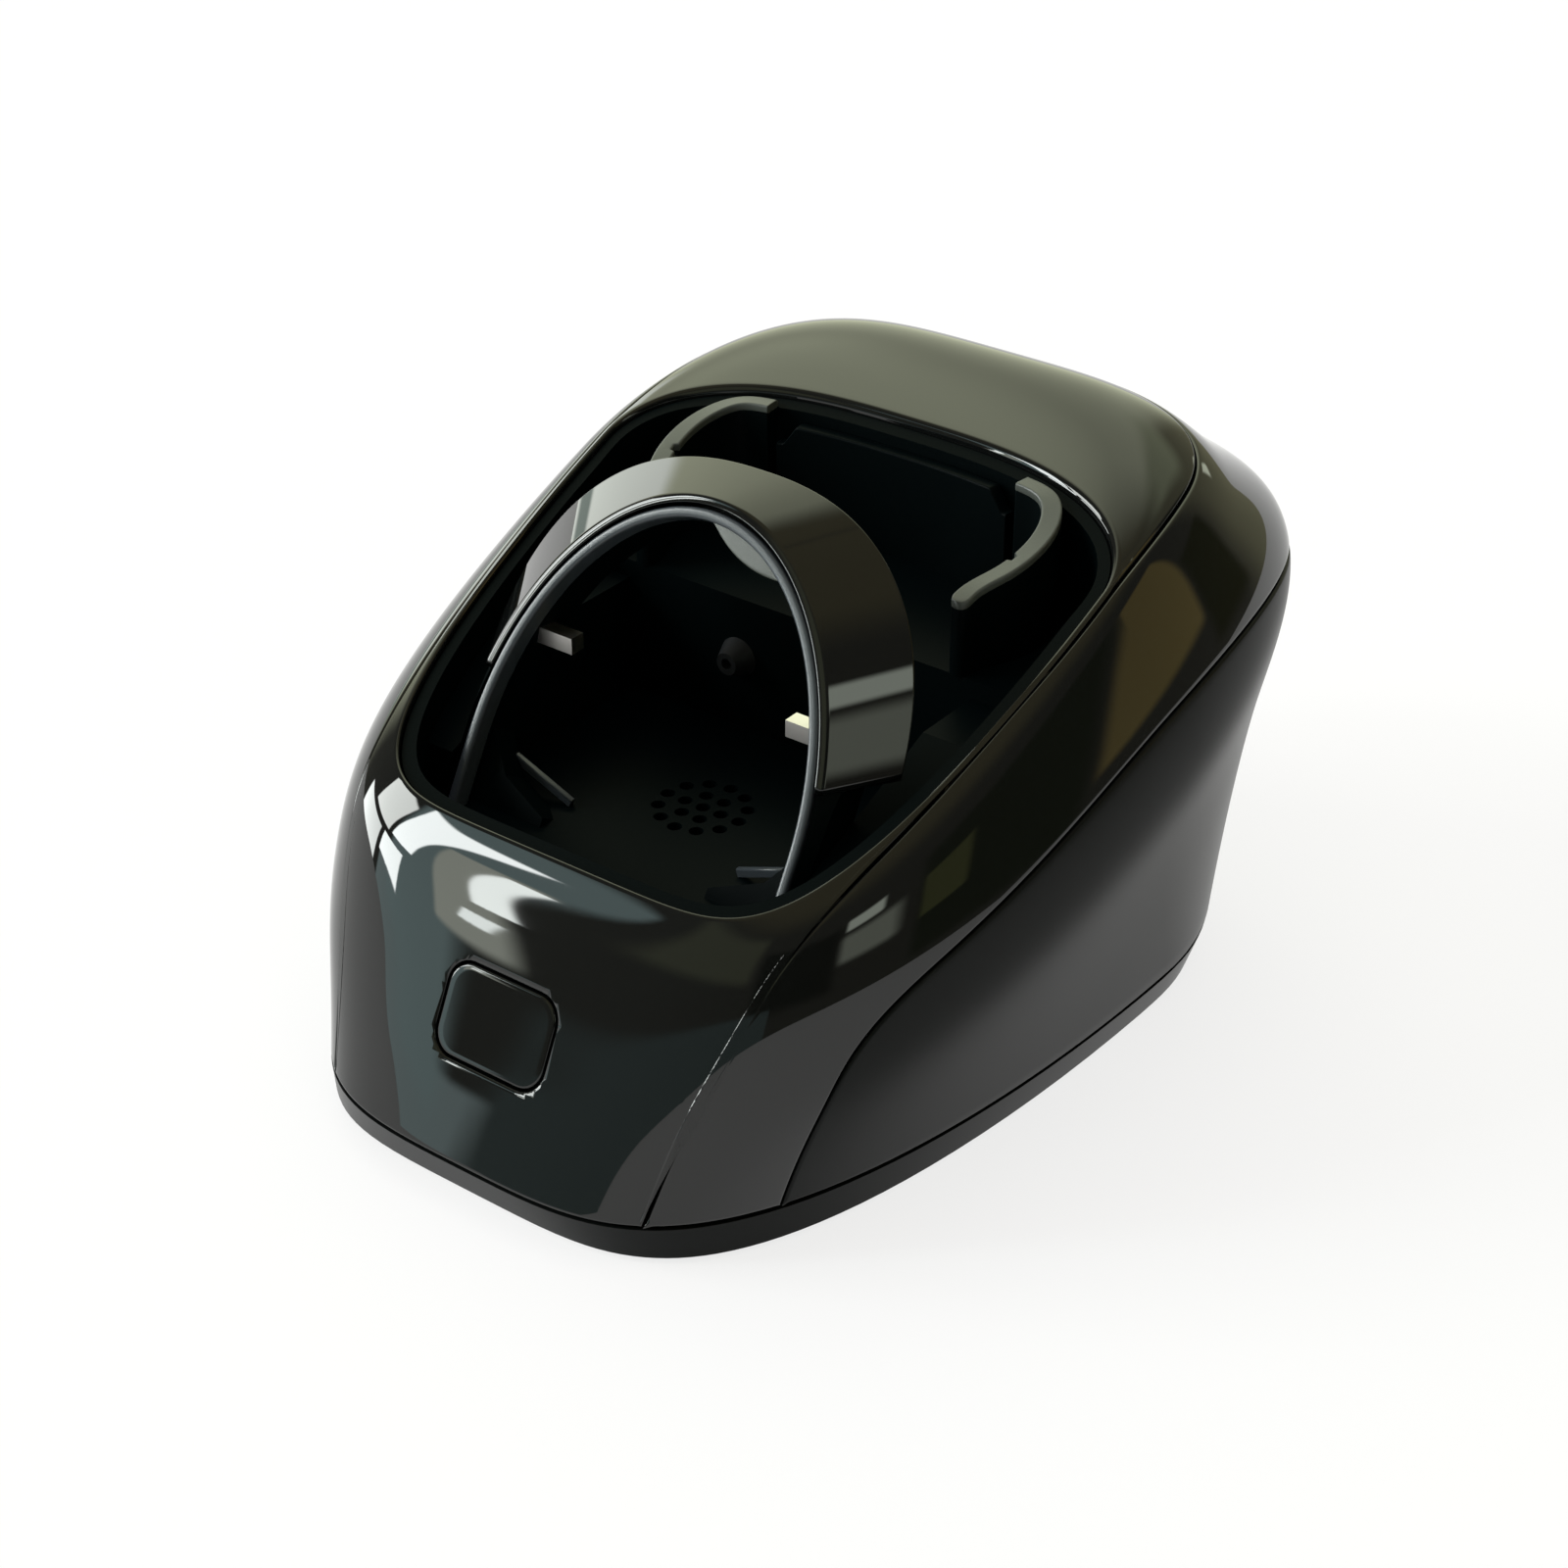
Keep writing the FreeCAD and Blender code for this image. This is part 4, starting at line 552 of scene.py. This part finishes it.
def makeButtonHole():
    # a solid that leaves the hole with a rolled edge
    gap, roll = button["gap"], button["holeRoll"]
    rings = [onTheFront(buttonOutline(gap)) + buttonIn * button["holeDepth"]]
    for t in np.linspace(0, math.radians(button["holeTurn"]), button["rollSteps"] + 1):
        rim = onTheFront(buttonOutline(gap + roll * (1 - math.cos(t))))
        rings.append(rim + buttonIn * roll * (1 - math.sin(t)))
    lip = onTheFront(buttonOutline(gap + roll * button["holeLip"]))
    rings.append(lip - buttonIn * button["holeRise"])
    rings.append(rings[-1] - buttonIn * button["holeReach"])
    rings = np.array(rings)
    around = rings.shape[1]
    faces = gridFaces(len(rings), around, closed=True)
    faces += [tuple(range(around)), tuple(range((len(rings) - 1) * around, len(rings) * around))]
    return meshFrom("buttonHole", rings.reshape(-1, 3), faces, "top_unit", "gloss_black")


makeButton()
cutOut(cover, makeButtonHole())
evenOut(cover)
print("button made")


collar = {
    "tilt": 60.0,  # lean of its faces from level
    "front": -43.0, "height": 42.0, "depth": 10.0,
    "mouth": (28.2, 40.4, 7.0, 1.0),  # half width, rise, middle and power of an arch
    "frontArch": (31.5, 45.7, 5.0, 1.0),
    "backArch": (37.0, 41.5, 10.0, 0.83),
    "bandFoot": 17.32, "foot": -4.62,
    "bandThickness": 1.2, "bandRadii": (0.55, 0.4, 0.3, 0.25),
    "lipWidth": 1.6, "lipDepth": 3.0, "lipRadii": (0.6, 0.15, 0.15, 0.6),
    "steps": 120, "legSteps": 10,
    "stopX": 12.0, "stopRise": 59.6, "stopRadius": 17.0, "stopDepth": (0.5, 1.7),
    "stopSteps": 60, "stopSink": 0.1, "stopRadii": (0.1, 0.1, 0.5, 0.5), "fineSteps": 4000,
    "ribEnds": [(26.0, -33.0, 43.1), (15.2, -33.3, 39.2)], "ribHalfWidth": 0.5,
    "ribHeight": 1.3, "ribRadii": (0.25, 0.25, 0.1, 0.1),
}
collarLean = math.radians(collar["tilt"])
collarThrough = np.array([0, math.sin(collarLean), -math.cos(collarLean)])


def collarPlace(x, rise, back=0.0):
    y = collar["front"] + back * collar["depth"] + rise * math.cos(collarLean)
    return np.stack([x, y, collar["height"] + rise * math.sin(collarLean)], -1)


def archLine(arch, grow, foot, back=0.0):
    # an arch from the foot of its right leg over to the left one
    half, rise, middle, power = arch
    half, rise = half + grow, rise + grow
    low = max((foot - middle) / rise, 0.0) ** (1 / power)
    angle = np.linspace(math.asin(low), math.pi - math.asin(low), collar["steps"] + 1)
    x = half * np.sign(np.cos(angle)) * np.abs(np.cos(angle)) ** power
    up = middle + rise * np.sin(angle) ** power
    if foot < middle:
        leg = np.linspace(foot, middle, collar["legSteps"], endpoint=False)
        x = np.concatenate([np.full(len(leg), half), x, np.full(len(leg), -half)])
        up = np.concatenate([leg, up, leg[::-1]])
    return collarPlace(x, up, back)


def makeCollarBand():
    thick, foot = collar["bandThickness"], collar["bandFoot"]
    corners = [
        archLine(collar["frontArch"], 0.0, foot),
        archLine(collar["backArch"], 0.0, foot, 1.0),
        archLine(collar["backArch"], -thick, foot, 1.0),
        archLine(collar["frontArch"], -thick, foot),
    ]
    rings = roundedRings(corners, collar["bandRadii"])
    sweptPiece("collarBand", rings, "top_unit", "gloss_black", ["collar_band"])


def makeCollarLip():
    width, deep, foot = collar["lipWidth"], collarThrough * collar["lipDepth"], collar["foot"]
    outer, inner = archLine(collar["mouth"], width, foot), archLine(collar["mouth"], 0.0, foot)
    rings = roundedRings([outer, outer + deep, inner + deep, inner], collar["lipRadii"])
    sweptPiece("collarLip", rings, "top_unit", "soft_grey", ["collar_lip"])


def makeCollarStop():
    # the crescent tab: between the mouth's edge and a circle that cuts it
    half, rise, middle, power = collar["mouth"]
    x = collar["stopX"] + np.linspace(-1, 1, collar["fineSteps"] + 1) * collar["stopRadius"]
    top = middle + rise * np.sqrt(np.clip(1 - (x / half) ** 2, 0, 1))
    low = collar["stopRise"] - np.sqrt(
        np.clip(collar["stopRadius"] ** 2 - (x - collar["stopX"]) ** 2, 0, None))
    inside = (top > low) & (np.abs(x) < half)
    ends = x[inside][[0, -1]]
    turn = np.linspace(0, math.pi, collar["stopSteps"] + 1)
    at = (ends[0] + ends[1]) / 2 - (ends[1] - ends[0]) / 2 * np.cos(turn)
    upper, lower = np.interp(at, x, top), np.interp(at, x, low)
    near, far = (collarThrough * d for d in collar["stopDepth"])
    up, down = collarPlace(at, upper + collar["stopSink"]), collarPlace(at, lower)
    corners = [up + near, up + far, down + far, down + near]
    rings = roundedRings(corners, collar["stopRadii"])
    # its satin grey, lighter than the black arch round it, is painted highlight: it stands for
    # the lit crescent inside the arch
    sweptPiece("collarStop", rings, "top_unit", "satin_grey", ["collar_stop"])


def makeFootRib(name, hand):
    # a rib that runs from the collar's foot towards the middle
    ends = np.array(collar["ribEnds"])
    ahead = (ends[1] - ends[0]) / np.linalg.norm(ends[1] - ends[0])
    across, down = np.array([0, collar["ribHalfWidth"], 0]), np.cross(ahead, [0, 1, 0])
    down *= collar["ribHeight"] * np.sign(-down[2])
    corners = [ends - across, ends + across, ends + across + down, ends - across + down]
    rings = roundedRings([c * np.array([hand, 1, 1]) for c in corners], collar["ribRadii"])
    sweptPiece("footRib" + name, rings, "top_unit", "soft_grey")


makeCollarBand()
makeCollarLip()
makeCollarStop()
makeFootRib("Left", -1)
makeFootRib("Right", 1)
print("collar made")


cradle = {
    "line": [(28.8, -0.5), (29.0, 2.5), (31.0, 7.5), (32.2, 13.0), (31.4, 19.0), (28.2, 23.4),
             (22.8, 24.8)],  # middle of the right arm seen from above, from its front end
    "linePoints": 121, "wall": 3.0, "tipWidth": 0.25,
    "shelf": 59.9, "top": 79.7, "topY": 25.5, "fall": 0.3, "cap": 1.2,
    "armRadius": 0.05, "capRadii": (0.4, 0.4, 0.1, 0.1),
    "notchX": 30.0, "notchY": 9.6, "notchLength": 1.4, "notchDepth": 0.7,
    "rearLine": [(-21.3, 24.5), (-10.0, 25.9), (0.0, 26.2), (10.0, 25.9), (21.3, 24.5)],
    "rearPoints": 141, "rearTop": 77.0, "rearWall": 2.1, "rearRadii": (0.35, 0.35, 0.05, 0.05),
    "vMiddle": 20.2, "vLow": 73.8, "vWide": 2.3,
}


def plumb(line, z):
    return np.column_stack([line, np.broadcast_to(z, len(line))])


def sidesOf(line, width):
    # the two edges of a strip seen from above
    ahead = np.gradient(line, axis=0)
    ahead /= np.linalg.norm(ahead, axis=1, keepdims=True)
    left = np.stack([-ahead[:, 1], ahead[:, 0]], 1) * (np.asarray(width)[..., None] / 2)
    return line + left, line - left


def makeArm(name, hand):
    line = smoothLine(cradle["line"], cradle["linePoints"])
    steps = np.linalg.norm(np.diff(line, axis=0), axis=1)
    run = np.concatenate([[0], np.cumsum(steps)])
    # a round front end
    reach = np.clip(run / (cradle["wall"] / 2), 0, 1)
    tip = cradle["tipWidth"]
    width = cradle["wall"] * (tip + (1 - tip) * np.sqrt(1 - (1 - reach) ** 2))
    inner, outer = sidesOf(line, width)
    top = cradle["top"] + cradle["fall"] * (line[:, 1] - cradle["topY"])
    beyond = line[:, 1] - cradle["notchY"]
    notch = (beyond > 0) & (beyond < cradle["notchLength"]) & (line[:, 0] > cradle["notchX"])
    notched = inner + (outer - inner) * (notch[:, None] * cradle["notchDepth"] / cradle["wall"])
    flip = np.array([hand, 1, 1])
    base = np.full(len(line), cradle["shelf"])
    # the arm is split at a joint below its top: the dark wall, and a top strip in satin grey
    # whose lighter colour is painted sheen from the light on its flat top
    joint = top - cradle["cap"]
    corners = [plumb(outer, joint), plumb(inner, joint), plumb(inner, base), plumb(outer, base)]
    rings = roundedRings([c * flip for c in corners], [cradle["armRadius"]] * 4, steps=1)
    sweptPiece("arm" + name, rings, "top_unit", "dark_tub", ["cradle"])
    corners = [plumb(outer, top), plumb(notched, top), plumb(notched, joint), plumb(outer, joint)]
    rings = roundedRings([c * flip for c in corners], cradle["capRadii"])
    sweptPiece("armCap" + name, rings, "top_unit", "satin_grey", ["cradle_cap_" + name.lower()])


def makeRearWall():
    line = smoothLine(cradle["rearLine"], cradle["rearPoints"])
    fall = (cradle["rearTop"] - cradle["vLow"]) / cradle["vWide"]
    top = cradle["vLow"] + np.maximum(cradle["vMiddle"] - np.abs(line[:, 0]), 0) * fall
    top = np.minimum(top, cradle["rearTop"])
    back, front = sidesOf(line, cradle["rearWall"])
    base = np.full(len(line), cradle["shelf"])
    corners = [plumb(back, top), plumb(front, top), plumb(front, base), plumb(back, base)]
    rings = roundedRings(corners, cradle["rearRadii"], steps=3)
    sweptPiece("rearWall", rings, "top_unit", "dark_tub", ["cradle"])


makeArm("Left", -1)
makeArm("Right", 1)
makeRearWall()
print("cradle made")


camera = {"azimuth": 37.2, "elevation": 31.0, "distance": 466.0, "right": -0.28, "up": 27.77,
          "focal": 68.13, "sensor": 36.0, "nearest": 0.01, "aim": (0.0, -2.0, 0.0)}


def placeCamera():
    a, e = math.radians(camera["azimuth"]), math.radians(camera["elevation"])
    right = Vector((math.cos(a), math.sin(a), 0))
    up = Vector((-math.sin(a) * math.sin(e), math.cos(a) * math.sin(e), math.cos(e)))
    back = Vector((math.sin(a) * math.cos(e), -math.cos(a) * math.cos(e), math.sin(e)))
    place = Vector(camera["aim"]) + back * camera["distance"]
    place += right * camera["right"] + up * camera["up"]
    lens = bpy.data.cameras.new("camera")
    lens.lens = camera["focal"]
    lens.sensor_width = camera["sensor"]
    lens.clip_start = camera["nearest"]
    eye = bpy.data.objects.new("camera", lens)
    scene.collection.objects.link(eye)
    turn = Matrix((right, up, back)).transposed()
    eye.matrix_world = Matrix.Translation(place * mm) @ turn.to_4x4()
    scene.camera = eye


placeCamera()


studio = {
    "floor": 0.93, "floorRoughness": 0.7, "floorSize": 8.0, "whiteShare": 0.8,
    "fill": 12.0, "fillColour": (0.86, 0.84, 1.0), "fillSize": 1.8,
    "fillPlace": (-0.3, 0.2, 1.5), "fillAim": (0, 0, 0.04),
    "room": (0.13, 0.125, 0.1),
    # Areas of the room round the object, each a soft-edged colour over those before it, in
    # degrees: azimuth from the front to the right, half width, lean for each degree up,
    # elevation, half height, softness.
    "areas": [
        ("ceiling", 0, 181, 0, 78, 18, 16, (0.36, 0.32, 0.18)),
        ("wallBehind", -135, 34, 0, 26, 34, 14, (1.55, 1.62, 1.18)),
        ("wallBright", -125, 10, 0, 45, 13, 14, (2.3, 2.42, 1.75)),
        ("curtain", -116, 9, 0, 3, 16, 5, (2.9, 3.05, 2.8)),
        ("curtainFold", -114, 14, 0, 1, 1.4, 1, (0.8, 0.95, 0.85)),
        ("cornerBehind", 178, 19, 0, 22, 40, 16, (0.42, 0.41, 0.26)),
        ("cornerHigh", -171, 13, 0, 46, 11, 12, (0.98, 1.06, 0.7)),
        ("lampBehind", 177, 2.2, 0, 14, 3.5, 2, (2.4, 2.55, 2.0)),
        ("darkBehind", 148, 8, 0, 14, 12, 4, (0.07, 0.07, 0.03)),
        ("cupboard", 127, 11.5, 0, 28, 19, 3, (0.75, 0.58, 0.22)),
        ("doorway", 100, 14, 0, 24, 22, 4, (0.05, 0.06, 0.03)),
        ("lowCupboard", 91, 4.5, 0, 28, 9, 2, (0.32, 0.34, 0.13)),
        ("picture", 70, 6, 0, 41, 3, 2, (3.2, 3.5, 3.0)),
        ("shelf", 72, 9, 0, 27, 8, 5, (1.3, 1.4, 1.15)),
        ("darkRight", 42, 20, 0, 24, 18, 6, (0.03, 0.03, 0.02)),
        ("wallRight", -8, 25, 0, 37, 16, 8, (0.4, 0.42, 0.27)),
        ("skirting", 0, 34, 0, 3, 4.5, 1.5, (0.24, 0.32, 0.31)),
        ("sill", -46, 12, 0, 1, 3.6, 1.2, (1.3, 1.65, 1.65)),
        ("jamb", -47, 8, -0.15, 22, 20, 2.5, (1.3, 1.75, 1.75)),
        ("stripe", -40.2, 2.1, -0.28, 20, 11, 0.8, (3.5, 3.7, 3.2)),
        ("outerPane", -73, 11.5, 0, 4, 7.5, 0.8, (11, 11.5, 11.2)),
        ("outerPane", -66, 8.6, 0, 25, 9.8, 0.8, (12, 12.5, 12)),
        ("innerPane", -53.4, 5.4, 0, 8.4, 4.1, 0.6, (17, 18, 17.8)),
        ("innerPane", -50.6, 4.6, 0, 27, 11, 0.6, (19, 20, 19.8)),
        ("farPane", -39.1, 0.65, -0.29, 22.2, 7.8, 0.3, (17, 18, 17.4)),
        ("farPane", -36.8, 0.7, 0, 11.7, 0.8, 0.3, (15, 16, 15.5)),
    ],
}


def maths(tree, operation, *inputs):
    # a node that works on sockets and numbers
    node = tree.nodes.new("ShaderNodeMath")
    node.operation = operation
    for socket, value in zip(node.inputs, inputs):
        if isinstance(value, bpy.types.NodeSocket):
            tree.links.new(value, socket)
        else:
            socket.default_value = value
    return node.outputs[0]


def softSpan(tree, away, half, soft):
    # 1 within half of the middle, falling to 0 over the softness
    span = tree.nodes.new("ShaderNodeMapRange")
    span.interpolation_type = "SMOOTHSTEP"
    span.inputs["From Min"].default_value = half + soft / 2
    span.inputs["From Max"].default_value = half - soft / 2
    tree.links.new(maths(tree, "ABSOLUTE", away), span.inputs["Value"])
    return span.outputs["Result"]


def makeRoom():
    world = bpy.data.worlds.new("studio")
    scene.world = world
    world.use_nodes = True
    tree = world.node_tree
    look = tree.nodes.new("ShaderNodeTexCoord")
    split = tree.nodes.new("ShaderNodeSeparateXYZ")
    tree.links.new(look.outputs["Generated"], split.inputs[0])
    front = maths(tree, "MULTIPLY", split.outputs["Y"], -1.0)
    turn = maths(tree, "DEGREES", maths(tree, "ARCTAN2", split.outputs["X"], front))
    height = maths(tree, "DEGREES", maths(tree, "ARCSINE", split.outputs["Z"]))
    colour = None
    for _, azimuth, wide, lean, elevation, high, soft, tone in studio["areas"]:
        up = maths(tree, "SUBTRACT", height, elevation)
        shift = maths(tree, "MULTIPLY", up, -lean)
        aside = maths(tree, "ADD", maths(tree, "SUBTRACT", turn, azimuth), shift)
        aside = maths(tree, "WRAP", aside, 180.0, -180.0)
        share = maths(tree, "MULTIPLY", softSpan(tree, aside, wide, soft),
                      softSpan(tree, up, high, soft))
        # inputs 6 and 7 and output 2 are the colours of a mix
        mix = tree.nodes.new("ShaderNodeMix")
        mix.data_type = "RGBA"
        tree.links.new(share, mix.inputs["Factor"])
        if colour is None:
            mix.inputs[6].default_value = (*studio["room"], 1)
        else:
            tree.links.new(colour, mix.inputs[6])
        mix.inputs[7].default_value = (*tone, 1)
        colour = mix.outputs[2]
    tree.links.new(colour, tree.nodes["Background"].inputs["Color"])


def floorFinish():
    # mostly white where it is seen, so that a part of the object's shadow stays
    material = plainMaterial("floorPaint", (studio["floor"],) * 3, studio["floorRoughness"],
                             specular=0.0)
    tree = material.node_tree
    ray = tree.nodes.new("ShaderNodeLightPath").outputs
    seen = maths(tree, "ADD", ray["Is Camera Ray"], ray["Is Glossy Ray"])
    seen = maths(tree, "ADD", seen, ray["Is Transmission Ray"])
    seen = maths(tree, "MINIMUM", seen, 1.0)
    share = maths(tree, "MULTIPLY", seen, studio["whiteShare"])
    white, mix = tree.nodes.new("ShaderNodeEmission"), tree.nodes.new("ShaderNodeMixShader")
    tree.links.new(share, mix.inputs[0])
    tree.links.new(tree.nodes["Principled BSDF"].outputs[0], mix.inputs[1])
    tree.links.new(white.outputs[0], mix.inputs[2])
    tree.links.new(mix.outputs[0], tree.nodes["Material Output"].inputs["Surface"])
    return material


def makeFloor():
    half = studio["floorSize"] / 2
    mesh = bpy.data.meshes.new("floor")
    mesh.from_pydata([(-half, -half, 0), (half, -half, 0), (half, half, 0), (-half, half, 0)], [],
                     [(0, 1, 2, 3)])
    floor = bpy.data.objects.new("floor", mesh)
    scene.collection.objects.link(floor)
    mesh.materials.append(floorFinish())


def makeFillLamp():
    light = bpy.data.lights.new("fillLamp", "AREA")
    light.size = studio["fillSize"]
    light.energy, light.color = studio["fill"], studio["fillColour"]
    lamp = bpy.data.objects.new("fillLamp", light)
    lamp.location = studio["fillPlace"]
    way = Vector(studio["fillAim"]) - Vector(studio["fillPlace"])
    lamp.rotation_euler = way.to_track_quat("-Z", "Y").to_euler()
    lamp.visible_glossy = lamp.visible_camera = False
    scene.collection.objects.link(lamp)


makeRoom()
makeFloor()
makeFillLamp()
print("camera, floor and lights made")
